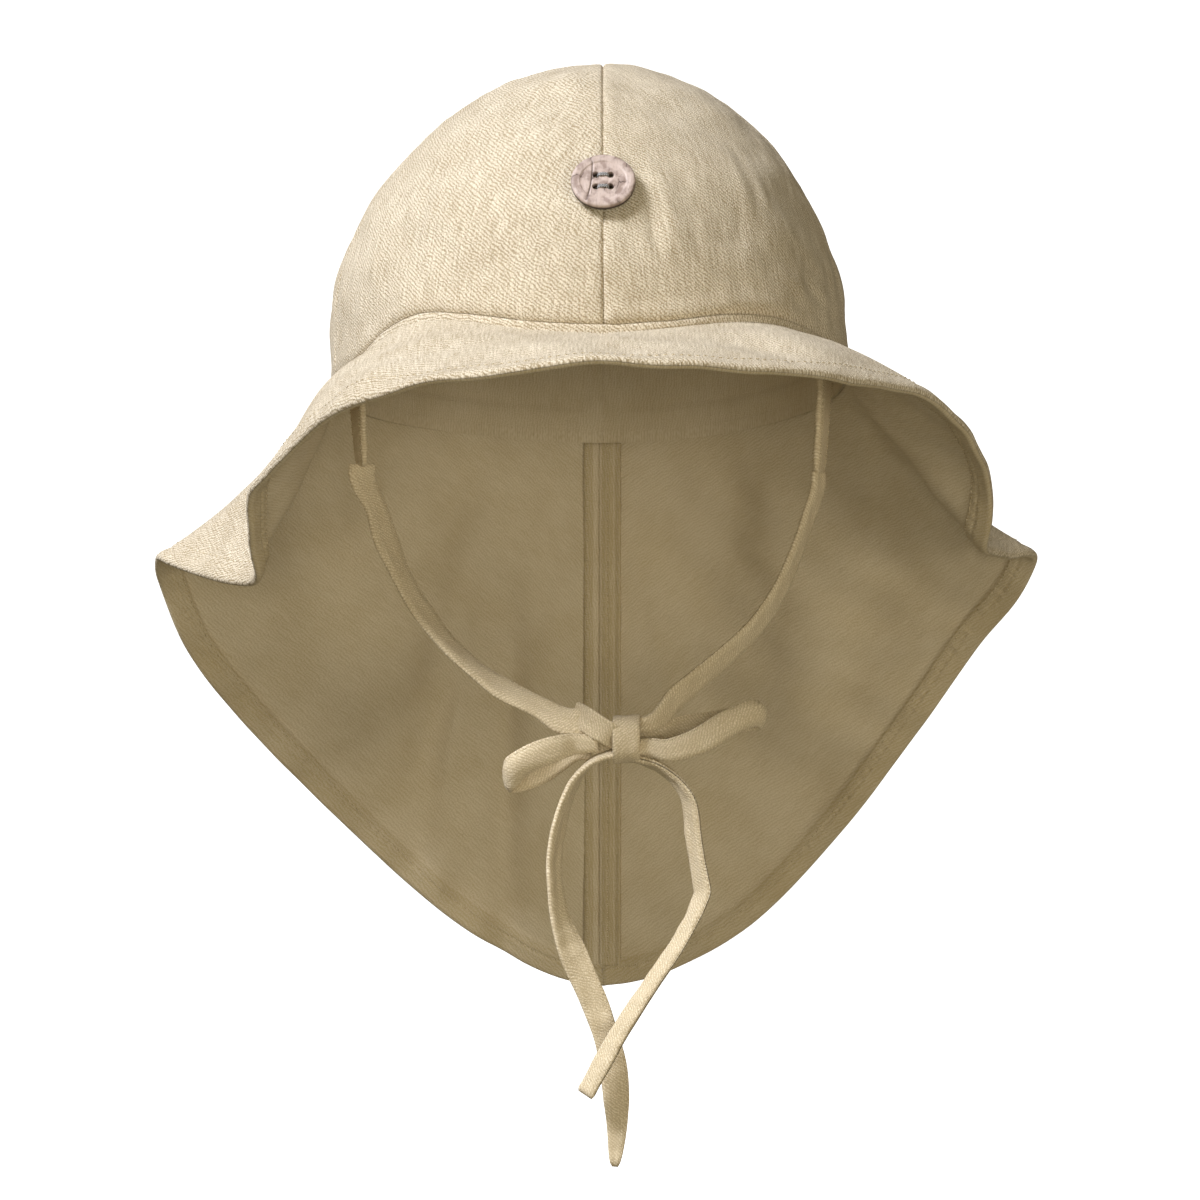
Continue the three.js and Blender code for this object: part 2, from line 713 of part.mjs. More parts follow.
function addTies(hat) {
  const ties = new THREE.Group();
  const tieCloth = material(0xbfb08a, 0.9);
  const upright = new THREE.Vector3(0, 0, 1);
  const sideways = new THREE.Vector3(1, 0, 0);
  const rightCheek = new THREE.Vector3(0.8, -0.6, 0);
  const leftCheek = new THREE.Vector3(0.8, 0.6, 0);
  const tieRight = fromTab(-1, rightTabDrop, tieRightRoute);
  const tieLeft = fromTab(1, leftTabDrop, tieLeftRoute);
  addMesh(ties, "ear_tab_right", earTab(-1, rightTabDrop), tieCloth);
  addMesh(ties, "ear_tab_left", earTab(1, leftTabDrop), tieCloth);
  addMesh(ties, "tie_right", flatCord(tieRight, rightCheek), tieCloth);
  addMesh(ties, "tie_left", flatCord(tieLeft, leftCheek), tieCloth);
  addMesh(ties, "bow_loop_right", flatCord(loopRightRoute, upright), tieCloth);
  addMesh(ties, "bow_loop_left", flatCord(loopLeftRoute, upright), tieCloth);
  addMesh(ties, "tie_tail_right", flatCord(tailRightRoute, sideways), tieCloth);
  addMesh(ties, "tie_tail_left", flatCord(tailLeftRoute, sideways), tieCloth);
  const knot = roundedBlock(knotWidth, knotHeight, knotThickness, knotRounding);
  addMesh(ties, "bow_knot", knot, tieCloth).position.copy(knotCentre);
  hat.add(ties);
}

function addButton(hat) {
  const group = new THREE.Group();
  const climb = (clothWall - buttonDrop - crownCentre) / crownHeight;
  const turn = Math.acos(climb);
  const seat = new THREE.Vector3(0, -(crownLength / 2) * Math.sin(turn), clothWall - buttonDrop);
  const outward = new THREE.Vector3(
    0,
    seat.y / (crownLength / 2) ** 2,
    (seat.z - crownCentre) / crownHeight ** 2,
  ).normalize();
  group.position.copy(seat).addScaledVector(outward, buttonShank);
  group.quaternion.setFromUnitVectors(new THREE.Vector3(0, 0, 1), outward);
  addMesh(group, "button", buttonGeometry(), material(0x7d6f66, 0.6));
  addMesh(group, "button_thread", threadGeometry(), material(0x8f8f8d, 0.8));
  hat.add(group);
}

const hat = new THREE.Group();
addCrown(hat);
addFlap(hat);
addTies(hat);
addButton(hat);

export default hat;
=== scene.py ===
"""Dresses the child's sun hat: twill cloth, seams and stitching, chin ties in a bow, and a shell button.

Metres, +Z up, the brow towards -Y and the wearer's right ear towards -X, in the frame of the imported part.
"""

import logging
import math
from dataclasses import dataclass, field
from enum import Enum

import bpy
import numpy as np
from mathutils import Matrix, Vector


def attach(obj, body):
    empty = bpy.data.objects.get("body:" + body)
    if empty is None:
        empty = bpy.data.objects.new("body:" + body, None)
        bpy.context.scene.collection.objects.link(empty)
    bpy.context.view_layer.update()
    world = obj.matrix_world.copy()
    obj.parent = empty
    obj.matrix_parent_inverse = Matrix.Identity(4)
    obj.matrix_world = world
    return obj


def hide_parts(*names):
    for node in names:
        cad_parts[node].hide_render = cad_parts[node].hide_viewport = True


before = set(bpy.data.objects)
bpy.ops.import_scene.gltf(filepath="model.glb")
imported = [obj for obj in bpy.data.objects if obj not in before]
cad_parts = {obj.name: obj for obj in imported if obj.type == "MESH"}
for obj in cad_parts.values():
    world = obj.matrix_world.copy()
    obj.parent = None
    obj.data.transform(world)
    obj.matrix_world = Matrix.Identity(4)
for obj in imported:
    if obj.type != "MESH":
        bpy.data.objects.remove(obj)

Array = np.ndarray
Socket = bpy.types.NodeSocket
Material = bpy.types.Material
Piece = bpy.types.Object
Point = tuple[float, float, float]
Colour = tuple[float, float, float, float]

LOG = logging.getLogger("sun_hat")
MM = 0.001

# Level of the crown seam round the head: angle, then the drop below the apex on the wearer's right and
# left, as shares of the crown's height
SEAM_ROWS = (
    (0, 0.937, 0.937),
    (15, 0.924, 0.923),
    (28, 0.896, 0.896),
    (40, 0.885, 0.892),
    (50, 0.927, 0.911),
    (56, 0.972, 0.927),
    (62, 1.016, 0.948),
    (70, 1.042, 0.978),
    (78, 1.053, 0.998),
    (90, 1.073, 1.029),
    (120, 1.118, 1.096),
    (150, 1.151, 1.151),
    (180, 1.173, 1.173),
)

# Front edge of the brim: angle, then out, sway and down as shares of the brim's reach, and bell
BRIM_ROWS = (
    (-60, 0.76, -0.16, 0.79, -0.1),
    (-50, 0.78, -0.18, 0.75, -0.15),
    (-40, 0.87, -0.14, 0.69, -0.2),
    (-30, 0.94, -0.06, 0.57, -0.25),
    (-20, 0.98, 0, 0.45, -0.25),
    (-10, 1, 0, 0.36, -0.25),
    (0, 1, 0, 0.31, -0.25),
    (10, 1, 0.02, 0.33, -0.25),
    (20, 0.98, 0.02, 0.39, -0.25),
    (30, 0.96, -0.02, 0.45, -0.25),
    (40, 0.92, -0.04, 0.48, -0.25),
    (50, 0.91, -0.02, 0.48, -0.2),
    (58, 0.96, 0.02, 0.54, -0.2),
)

# Edge of the neck flap: angle, out and sway as shares of the wing's reach, down as a share of the flap's
# drop, and bell
FLAP_ROWS = (
    (-172, 0.23, -0.12, 0.973, 0.3),
    (-162, 0.31, -0.33, 0.878, 0.3),
    (-147, 0.51, -0.41, 0.722, 0.3),
    (-131, 0.77, -0.4, 0.55, 0.3),
    (-117, 0.93, -0.26, 0.417, 0.25),
    (-106, 0.99, -0.1, 0.304, 0.12),
    (-100, 0.95, -0.04, 0.27, 0.1),
    (-95, 0.87, 0.02, 0.279, 0.1),
    (-89, 0.69, 0.06, 0.306, 0.1),
    (-83, 0.51, 0.04, 0.325, 0.15),
    (-78, 0.41, -0.01, 0.321, 0.1),
    (-73, 0.45, -0.05, 0.268, 0.05),
    (-67, 0.5, -0.08, 0.213, 0),
    (66, 0.69, 0.03, 0.156, -0.15),
    (73, 0.69, 0.04, 0.202, -0.1),
    (79, 0.69, 0.06, 0.256, 0),
    (84, 0.68, 0.07, 0.294, 0.05),
    (90, 0.8, 0.07, 0.295, 0.1),
    (96, 0.95, 0.04, 0.286, 0.1),
    (101, 1.01, -0.01, 0.295, 0.1),
    (108, 0.98, -0.06, 0.352, 0.15),
    (119, 0.88, -0.21, 0.416, 0.2),
    (133, 0.7, -0.37, 0.554, 0.3),
    (148, 0.52, -0.43, 0.717, 0.3),
    (162, 0.33, -0.34, 0.887, 0.3),
    (172, 0.24, -0.14, 0.976, 0.3),
    (180, 0.23, 0, 1, 0.3),
)

# Soft upright folds of the flap: angle, depth as a share of the fold depth, and spread in degrees
FOLD_ROWS = (
    (-154, 1, 7),
    (-138, -0.5, 8),
    (-118, 0.4, 8),
    (122, 0.35, 8),
    (140, -0.5, 8),
    (158, 0.4, 9),
)


class Side(Enum):
    """The wearer's side that a paired piece belongs to."""

    RIGHT = -1
    LEFT = 1


class Face(Enum):
    """The face of a cloth wall that a vertex lies on."""

    OUTER = 0.0
    INNER = 1.0


class StrapEnd(Enum):
    """How a flat strap ends."""

    HIDDEN = "hidden"
    POINTED = "pointed"
    SQUARE = "square"


def linear(red: int, green: int, blue: int) -> Colour:
    """Turns a colour as seen on a screen into the shader's linear numbers.

    Args:
        red: Red from 0 to 255.
        green: Green from 0 to 255.
        blue: Blue from 0 to 255.

    Returns:
        The linear red, green and blue with an alpha of 1.
    """
    shares = [part / 255 for part in (red, green, blue)]
    made = [s / 12.92 if s <= 0.04045 else ((s + 0.055) / 1.055) ** 2.4 for s in shares]
    return (*made, 1.0)


def unit(vectors: Array) -> Array:
    """Returns the vectors scaled to a length of 1."""
    return vectors / np.maximum(np.linalg.norm(vectors, axis=-1, keepdims=True), 1e-12)


def ring_value(keys: Array, values: Array, angle: Array) -> Array:
    """Reads a smooth curve through rows that close round the head.

    Args:
        keys: Angles of the rows in degrees, rising to 180.
        values: The value at each row.
        angle: Angles at which the curve is read, above -180 and up to 180.

    Returns:
        The curve's value at each angle.
    """
    count = len(keys)
    at = np.searchsorted(keys, angle, side="left")
    rows = [((at + step) % count, (at + step) // count) for step in (-2, -1, 0, 1)]
    (a0, v0), (a1, v1), (a2, v2), (a3, v3) = ((keys[i] + 360.0 * turns, values[i]) for i, turns in rows)
    width = a2 - a1
    share = (angle - a1) / width
    start_slope = (v2 - v0) / (a2 - a0) * width
    end_slope = (v3 - v1) / (a3 - a1) * width
    square = share * share
    cube = square * share
    return (
        (2 * cube - 3 * square + 1) * v1
        + (cube - 2 * square + share) * start_slope
        + (3 * square - 2 * cube) * v2
        + (cube - square) * end_slope
    )


@dataclass(frozen=True)
class HatForm:
    """Sizes of the hat and the plain surfaces that its cloth follows, as in the part's source."""

    crown_right: float = 0.0809
    crown_left: float = 0.074
    crown_length: float = 0.176
    crown_height: float = 0.09
    crown_slump: float = 0.0026
    slump_turn: float = 72.0
    slump_spread: float = 16.0
    cloth_wall: float = 0.0016
    seam_gap: float = 0.0003
    brim_reach: float = 0.043
    wing_reach: float = 0.062
    flap_drop: float = 0.183
    seam_stand: float = 0.0025
    fold_depth: float = 0.008
    fold_fade: float = 1.7
    seam_ring: Array = field(init=False, repr=False)
    hem_ring: Array = field(init=False, repr=False)

    def __post_init__(self) -> None:
        """Lays the tables out as rings of rows from the nape round the wearer's right to the nape."""
        right = [(-angle, drop * self.crown_height) for angle, drop, _ in SEAM_ROWS[1:-1][::-1]]
        left = [(angle, drop * self.crown_height) for angle, _, drop in SEAM_ROWS]
        object.__setattr__(self, "seam_ring", np.array(right + left, float))
        flap = [(a, o * self.wing_reach, s * self.wing_reach, d * self.flap_drop, b) for a, o, s, d, b in FLAP_ROWS]
        brim = [
            (a, o * self.brim_reach, s * self.brim_reach, d * self.brim_reach, b) for a, o, s, d, b in BRIM_ROWS
        ]
        object.__setattr__(self, "hem_ring", np.array(sorted(flap + brim), float))

    @property
    def crown_centre(self) -> float:
        """Height of the crown's own centre."""
        return self.cloth_wall - self.crown_height

    def half_width(self, angle: Array) -> Array:
        """Returns the crown's half width on the side that an angle lies on."""
        return np.where(angle < 0, self.crown_right, self.crown_left)

    def seam_level(self, angle: Array) -> Array:
        """Returns the height of the crown seam at each angle."""
        return self.cloth_wall - ring_value(self.seam_ring[:, 0], self.seam_ring[:, 1], angle)

    def crown(self, angle: Array, share: Array) -> Array:
        """Gives points of the crown's outer surface.

        Args:
            angle: Angles round the head in degrees, 0 at the brow.
            share: Shares of the way from the apex to the seam.

        Returns:
            The points.
        """
        rise = (self.seam_level(angle) - self.crown_centre) / self.crown_height
        seam_turn = np.where(rise > 0, np.arccos(np.clip(rise, -1, 1)), np.pi / 2 - rise)
        turn = seam_turn * share
        round_part = np.minimum(turn, np.pi / 2)
        radians = np.radians(angle)
        below = (np.degrees(turn) - self.slump_turn) / self.slump_spread
        slump = np.where(angle < 0, self.crown_slump * np.exp(-below * below) * np.sin(radians) ** 2, 0)
        across = (self.half_width(angle) * np.sin(round_part) + slump) * np.sin(radians)
        along = -(self.crown_length / 2) * np.sin(round_part) * np.cos(radians)
        height = self.crown_centre + self.crown_height * (np.cos(round_part) - (turn - round_part))
        return np.stack(np.broadcast_arrays(across, along, height), -1)

    def seam_frame(self, angle: Array) -> tuple[Array, Array]:
        """Gives the level directions out of the crown seam and along it towards the nape.

        Args:
            angle: Angles round the head in degrees.

        Returns:
            The outward and the along directions.
        """
        radians = np.radians(angle)
        half = self.half_width(angle)
        deep = self.crown_length / 2
        level = np.zeros_like(radians)
        outward = unit(np.stack([np.sin(radians) / half, -np.cos(radians) / deep, level], -1))
        along = unit(np.stack([half * np.cos(radians), deep * np.sin(radians), level], -1))
        return outward, np.where(angle[..., None] < 0, -along, along)

    def fold(self, angle: Array, share: Array) -> Array:
        """Returns how far the soft folds bend the flap outwards.

        Args:
            angle: Angles round the head in degrees.
            share: Shares of the flap's depth.

        Returns:
            The bends in metres.
        """
        bend = np.zeros(np.broadcast(angle, share).shape)
        for middle, depth, spread in FOLD_ROWS:
            away = np.abs(angle - middle)
            near = np.minimum(away, 360 - away) / spread
            bend = bend + depth * self.fold_depth * np.exp(-near * near)
        return bend * np.sin(share * self.fold_fade * np.pi / 2) ** 2

    def flap(self, given_angle: Array, share: Array) -> Array:
        """Gives points of the outer face of the brim and flap.

        Args:
            given_angle: Angles round the head in degrees.
            share: Shares of the way from the foot of the seam stand to the hem.

        Returns:
            The points.
        """
        angle, share = np.broadcast_arrays(np.where(given_angle > 180, given_angle - 360, given_angle), share)
        outward, along = self.seam_frame(angle)
        out, sway, down, bell = (ring_value(self.hem_ring[:, 0], self.hem_ring[:, k], angle) for k in (1, 2, 3, 4))
        bow = bell * (share * share - share)
        stand = self.seam_gap + self.seam_stand
        start = self.crown(angle, np.ones_like(share))
        start[..., 2] = self.seam_level(angle) - stand
        reach = (out * (share + bow) + self.fold(angle, share))[..., None] * outward
        drift = (sway * share * share)[..., None] * along
        fall = np.zeros_like(start)
        fall[..., 2] = -(down - stand) * (share - bow)
        return start + reach + drift + fall


@dataclass(frozen=True)
class Ripples:
    """Seeded soft unevenness of cloth: many level waves of about one length, added up."""

    seed: int
    wavelength: float
    waves: int = 18

    def at(self, across: Array, down: Array) -> Array:
        """Reads the unevenness at cloth coordinates.

        Args:
            across: Distance along the cloth's weft, in metres.
            down: Distance along the cloth's warp, in metres.

        Returns:
            Heights of about -1 to 1.
        """
        source = np.random.default_rng(self.seed)
        total = np.zeros(np.broadcast(across, down).shape)
        for _ in range(self.waves):
            heading = source.uniform(0, 2 * np.pi)
            pitch = self.wavelength * source.uniform(0.7, 1.6)
            phase = source.uniform(0, 2 * np.pi)
            way = across * math.cos(heading) + down * math.sin(heading)
            total = total + np.cos(2 * np.pi * way / pitch + phase)
        return total / math.sqrt(self.waves)


@dataclass(frozen=True)
class Crease:
    """One fold, dent or ridge, placed as it is seen from straight in front, a metre away at ear level.

    The numbers are millimetres to the side of the middle and above the level of the eye.
    """

    start: tuple[float, float]
    end: tuple[float, float]
    width: float
    depth: float

    def press(self, points: Array) -> Array:
        """Gives the height that the crease adds along the cloth's outward direction.

        Args:
            points: Points of the cloth.

        Returns:
            The added heights in metres.
        """
        away = 1 + points[..., 1]
        seen = np.stack([points[..., 0] / away, (points[..., 2] + 0.159) / away], -1) / MM
        first, last = np.array(self.start, float), np.array(self.end, float)
        line = last - first
        length = max(float(np.linalg.norm(line)), 1e-6)
        along = np.clip(((seen - first) @ line) / length**2, 0, 1)
        gap = np.linalg.norm(seen - (first + along[..., None] * line), axis=-1)
        taper = 0.35 + 0.65 * np.sin(np.pi * along)
        return self.depth * MM * bell(gap, 0, self.width) * taper


def grid_normals(grid: Array) -> Array:
    """Finds the outward directions of a grid with rows downwards and columns to the wearer's left."""
    return unit(np.cross(np.gradient(grid, axis=0), np.gradient(grid, axis=1)))


def step_down(distance: Array, place: float, softness: float) -> Array:
    """Gives 1 before a place and 0 after it, with a soft step between."""
    return 0.5 - 0.5 * np.tanh((distance - place) / (2 * softness))


def bell(distance: Array, place: float, width: float) -> Array:
    """Gives 1 at a place, and fades to 0 over a width on both sides."""
    return np.exp(-(((distance - place) / width) ** 2))


def read_along(line: Array, run: Array, places: Array) -> Array:
    """Reads a line of points or directions at distances along it."""
    return np.stack([np.interp(places, run, line[:, k]) for k in range(3)], -1)


def show(name: str, data: bpy.types.ID) -> Piece:
    """Makes an object of some data and links it to the scene.

    Args:
        name: The object's name.
        data: Its mesh, light or camera.

    Returns:
        The linked object.
    """
    made = bpy.data.objects.new(name, data)
    bpy.context.scene.collection.objects.link(made)
    return made


def arc_lengths(grid: Array, axis: int) -> Array:
    """Returns the distance run along an axis of a grid of points, from its first line.

    Args:
        grid: The points.
        axis: The axis along which the distance runs.

    Returns:
        The distances.
    """
    steps = np.linalg.norm(np.diff(grid, axis=axis), axis=-1)
    first = np.zeros_like(np.take(steps, [0], axis=axis))
    return np.concatenate([first, np.cumsum(steps, axis=axis)], axis=axis)


class MeshMaker:
    """Collects vertices, faces and cloth coordinates, and makes one object of them."""

    def __init__(self, name: str) -> None:
        """Starts an empty mesh of that name.

        Args:
            name: Name of the mesh and its object.
        """
        self.name = name
        self.points: list[Array] = []
        self.faces: list[Array] = []
        self.cloth: list[Array] = []
        self.trim: list[Array] = []
        self.count = 0

    def add(
        self,
        points: Array,
        faces: Array,
        cloth: Array | None = None,
        trim: Array | None = None,
    ) -> None:
        """Adds a block of vertices and the four-cornered faces between them.

        Args:
            points: Vertex places, one row each.
            faces: Four vertex numbers a row, counted within the block.
            cloth: Across, down and face number of each vertex, in millimetres; none where there is no weave.
            trim: Distance from the hem, distance along it, and strength of its gathers and of the painted shade
                along the hem band.
        """
        flat = points.reshape(-1, 3)
        none = np.zeros((len(flat), 3))
        far = np.tile([1000.0, 0.0, 0.0], (len(flat), 1))
        self.points.append(flat)
        self.faces.append(np.asarray(faces, np.int64) + self.count)
        self.cloth.append(none if cloth is None else cloth.reshape(-1, 3))
        self.trim.append(far if trim is None else trim.reshape(-1, 3))
        self.count += len(flat)

    def build(self, finish: Material) -> Piece:
        """Makes the object with smooth faces and its cloth coordinates.

        Args:
            finish: The material of the whole object.

        Returns:
            The linked object.
        """
        points, faces = np.vstack(self.points), np.vstack(self.faces)
        mesh = bpy.data.meshes.new(self.name)
        mesh.from_pydata(points.tolist(), [], faces.tolist())
        for name, blocks in (("cloth", self.cloth), ("trim", self.trim)):
            layer = mesh.attributes.new(name, "FLOAT_VECTOR", "POINT")
            layer.data.foreach_set("vector", np.vstack(blocks).astype(np.float32).ravel())
        mesh.polygons.foreach_set("use_smooth", np.ones(len(faces), bool))
        mesh.materials.append(finish)
        mesh.validate()
        mesh.update()
        return show(self.name, mesh)


def third_corner(first: Array, second: Array, reach: float, far: float, way: float) -> Array:
    """Places the third corner of a flat triangle from its distances.

    Args:
        first: The first corner.
        second: The second corner.
        reach: The third corner's distance from the first.
        far: Its distance from the second.
        way: 1 or -1, the side of the line on which it lies.

    Returns:
        The third corner.
    """
    line = second - first
    length = float(np.linalg.norm(line))
    along = (reach**2 - far**2 + length**2) / (2 * length)
    off = math.sqrt(max(reach**2 - along**2, 0.0))
    return first + line / length * along + np.array([-line[1], line[0]]) / length * off * way


def flat_pattern(grid: Array, fall: Array) -> Array:
    """Lays cloth out flat from its middle column both ways, as its paper pattern would lie.

    Args:
        grid: The cloth's points, rows downwards and columns to the wearer's left.
        fall: Distance of each point down its column.

    Returns:
        Across and down for each point, in metres.
    """
    top, foot = grid[0], grid[-1]
    count = len(top)
    middle = count // 2
    flat_top, flat_foot = np.zeros((count, 2)), np.zeros((count, 2))
    flat_foot[middle] = (0, np.linalg.norm(foot[middle] - top[middle]))
    for way, columns in ((-1, range(middle, count - 1)), (1, range(middle, 0, -1))):
        for k in columns:
            following = k - way
            width = float(np.linalg.norm(top[following] - top[k]))
            slant = float(np.linalg.norm(top[following] - foot[k]))
            flat_top[following] = third_corner(flat_top[k], flat_foot[k], width, slant, way)
            length = float(np.linalg.norm(foot[following] - top[following]))
            width = float(np.linalg.norm(foot[following] - foot[k]))
            flat_foot[following] = third_corner(flat_top[following], flat_foot[k], length, width, way)
    down = unit(flat_foot - flat_top)
    return flat_top[None] + down[None] * fall[..., None]


def wall_faces(rows: int, columns: int) -> Array:
    """Numbers the faces of a closed wall that has an outer grid of points and then an inner one.

    Args:
        rows: Rows of each grid.
        columns: Columns of each grid.

    Returns:
        Four vertex numbers a row.
    """
    inside = rows * columns
    row, column = np.meshgrid(np.arange(rows - 1), np.arange(columns - 1), indexing="ij")
    a = row * columns + column
    b, c, d = a + 1, a + 1 + columns, a + columns
    quads = [np.stack([a, d, c, b], -1), inside + np.stack([a, b, c, d], -1)]
    top = np.arange(columns - 1)
    foot = top + (rows - 1) * columns
    quads.append(np.stack([top, top + 1, inside + top + 1, inside + top], -1))
    quads.append(np.stack([foot + 1, foot, inside + foot, inside + foot + 1], -1))
    a = np.arange(rows - 1) * columns
    b, far = a + columns, columns - 1
    quads.append(np.stack([a, inside + a, inside + b, b], -1))
    quads.append(np.stack([a + far, b + far, inside + b + far, inside + a + far], -1))
    return np.vstack([quad.reshape(-1, 4) for quad in quads])


def tube_faces(rings: int, sides: int) -> Array:
    """Numbers the faces of a tube of rings with closed sides and open ends.

    Args:
        rings: How many rings follow each other.
        sides: Points of each ring.

    Returns:
        Four vertex numbers a row.
    """
    ring, side = np.meshgrid(np.arange(rings - 1), np.arange(sides), indexing="ij")
    following = (side + 1) % sides
    a, b = ring * sides + side, ring * sides + following
    return np.stack([a, b, b + sides, a + sides], -1).reshape(-1, 4)


def smooth_route(points: Array, step: float) -> Array:
    """Runs the smooth curve of the part's source through points, and spaces it evenly.

    Args:
        points: The route's points.
        step: Distance between the points of the result.

    Returns:
        Evenly spaced points from the first to the last.
    """
    held = np.vstack([2 * points[0] - points[1], points, 2 * points[-1] - points[-2]])
    knots = np.concatenate([[0], np.cumsum(np.linalg.norm(np.diff(held, axis=0), axis=1) ** 0.5)])
    fine = []
    for i in range(1, len(held) - 2):
        slopes = []
        for k in (i, i + 1):
            before, after = knots[k] - knots[k - 1], knots[k + 1] - knots[k]
            slopes.append(
                (held[k] - held[k - 1]) / before
                - (held[k + 1] - held[k - 1]) / (before + after)
                + (held[k + 1] - held[k]) / after
            )
        span = knots[i + 1] - knots[i]
        t = np.linspace(0, 1, 24, endpoint=False)[:, None]
        fine.append(
            (2 * t**3 - 3 * t**2 + 1) * held[i]
            + (t**3 - 2 * t**2 + t) * slopes[0] * span
            + (3 * t**2 - 2 * t**3) * held[i + 1]
            + (t**3 - t**2) * slopes[1] * span
        )
    line = np.vstack([*fine, points[-1:]])
    run = arc_lengths(line, 0)
    count = max(2, round(float(run[-1]) / step) + 1)
    even = np.linspace(0, run[-1], count)
    return read_along(line, run, even)


class NodeSheet:
    """The node tree of one material, with short calls for the nodes that the finishes use."""

    def __init__(self, name: str) -> None:
        """Starts a material of that name with an empty tree.

        Args:
            name: Name of the material.
        """
        self.material = bpy.data.materials.new(name)
        self.material.use_nodes = True
        self.tree = self.material.node_tree
        self.tree.nodes.clear()

    def node(self, kind: str, **settings: object) -> bpy.types.Node:
        """Adds a node of a kind and sets its properties.

        Args:
            kind: The node's type.
            **settings: Its properties.

        Returns:
            The node.
        """
        made = self.tree.nodes.new(kind)
        for key, value in settings.items():
            setattr(made, key, value)
        return made

    def plug(self, socket: Socket, value: object) -> None:
        """Links a socket to another one, or sets it to a plain value.

        Args:
            socket: The input.
            value: A socket to link, or a plain value.
        """
        if isinstance(value, Socket):
            self.tree.links.new(value, socket)
        else:
            socket.default_value = value

    def math(self, operation: str, *values: object, clamp: bool = False) -> Socket:
        """Adds a math node.

        Args:
            operation: The node's operation.
            *values: Sockets or numbers for its inputs.
            clamp: Whether the result is kept from 0 to 1.

        Returns:
            The result's socket.
        """
        made = self.node("ShaderNodeMath", operation=operation, use_clamp=clamp)
        for socket, value in zip(made.inputs, values):
            self.plug(socket, value)
        return made.outputs[0]

    def times(self, first: object, second: object) -> Socket:
        """Multiplies two values."""
        return self.math("MULTIPLY", first, second)

    def plus(self, first: object, second: object) -> Socket:
        """Adds two values."""
        return self.math("ADD", first, second)

    def less(self, first: object, second: object) -> Socket:
        """Takes the second value from the first."""
        return self.math("SUBTRACT", first, second)

    def scaled(self, across: object, down: object, wide: float, long: float, deep: float = 0.0) -> Socket:
        """Makes a place of two coordinates, each times its own factor, for threads longer than wide."""
        return self.vector(self.times(across, wide), self.times(down, long), deep)

    def blend(self, share: object, low: object, high: object, mode: str = "MIX") -> Socket:
        """Mixes two colours by a share and returns the result's socket.

        Args:
            share: How much of the second colour.
            low: The first colour.
            high: The second colour.
            mode: The way of mixing.

        Returns:
            The mixed colour.
        """
        made = self.node("ShaderNodeMix", data_type="RGBA", blend_type=mode)
        self.plug(made.inputs["Factor"], share)
        self.plug(made.inputs[6], low)
        self.plug(made.inputs[7], high)
        return made.outputs[2]

    def vector(self, across: object, down: object, deep: object = 0.0) -> Socket:
        """Combines three numbers into a vector socket.

        Args:
            across: The first number.
            down: The second number.
            deep: The third number.

        Returns:
            The vector.
        """
        made = self.node("ShaderNodeCombineXYZ")
        for socket, value in zip(made.inputs, (across, down, deep)):
            self.plug(socket, value)
        return made.outputs[0]

    def noise(self, place: Socket, scale: float, detail: float = 2.0) -> Socket:
        """Adds a noise texture at a place and returns its factor, about 0.5 in the middle.

        Args:
            place: Where it is read.
            scale: Its fineness.
            detail: Its finer layers.

        Returns:
            The noise.
        """
        made = self.node("ShaderNodeTexNoise")
        self.plug(made.inputs["Vector"], place)
        made.inputs["Scale"].default_value = scale
        made.inputs["Detail"].default_value = detail
        return made.outputs[0]

    def attribute(self, name: str) -> tuple[Socket, ...]:
        """Reads a vector attribute of the mesh and returns its three numbers.

        Args:
            name: The attribute's name.

        Returns:
            Its three numbers.
        """
        read = self.node("ShaderNodeAttribute", attribute_name=name)
        split = self.node("ShaderNodeSeparateXYZ")
        self.plug(split.inputs[0], read.outputs["Vector"])
        return tuple(split.outputs)

    def spread(self, value: object, low: float, high: float, start: float, end: float) -> Socket:
        """Maps a value smoothly from one range to another.

        Args:
            value: The value.
            low: Start of its range.
            high: End of its range.
            start: Result at the start.
            end: Result at the end.

        Returns:
            The mapped value.
        """
        made = self.node("ShaderNodeMapRange", interpolation_type="SMOOTHSTEP")
        for socket, number in zip(made.inputs, (value, low, high, start, end)):
            self.plug(socket, number)
        return made.outputs[0]

    def finish(
        self,
        colour: object,
        roughness: object,
        height: Socket | None,
        relief: float,
        sheen: float = 0.0,
        emission: float = 0.0,
    ) -> Material:
        """Ends the tree in a shader.

        Args:
            colour: Base colour, a socket or a plain colour.
            roughness: Roughness, a socket or a number.
            height: Height of the fine relief, or none.
            relief: Depth of the relief in metres.
            sheen: Sheen weight.
            emission: Strength of the white glow of a backdrop.

        Returns:
            The finished material.
        """
        shader = self.node("ShaderNodeBsdfPrincipled")
        self.plug(shader.inputs["Base Color"], colour)
        self.plug(shader.inputs["Roughness"], roughness)
        shader.inputs["Sheen Weight"].default_value = sheen
        shader.inputs["Sheen Roughness"].default_value = 0.6
        shader.inputs["Emission Strength"].default_value = emission
        if emission:
            shader.inputs["Emission Color"].default_value = (1, 1, 1, 1)
        if height is not None:
            bump = self.node("ShaderNodeBump")
            bump.inputs["Strength"].default_value = 1.0
            bump.inputs["Distance"].default_value = relief
            self.plug(bump.inputs["Height"], height)
            self.plug(shader.inputs["Normal"], bump.outputs[0])
        out = self.node("ShaderNodeOutputMaterial")
        self.plug(out.inputs["Surface"], shader.outputs[0])
        return self.material


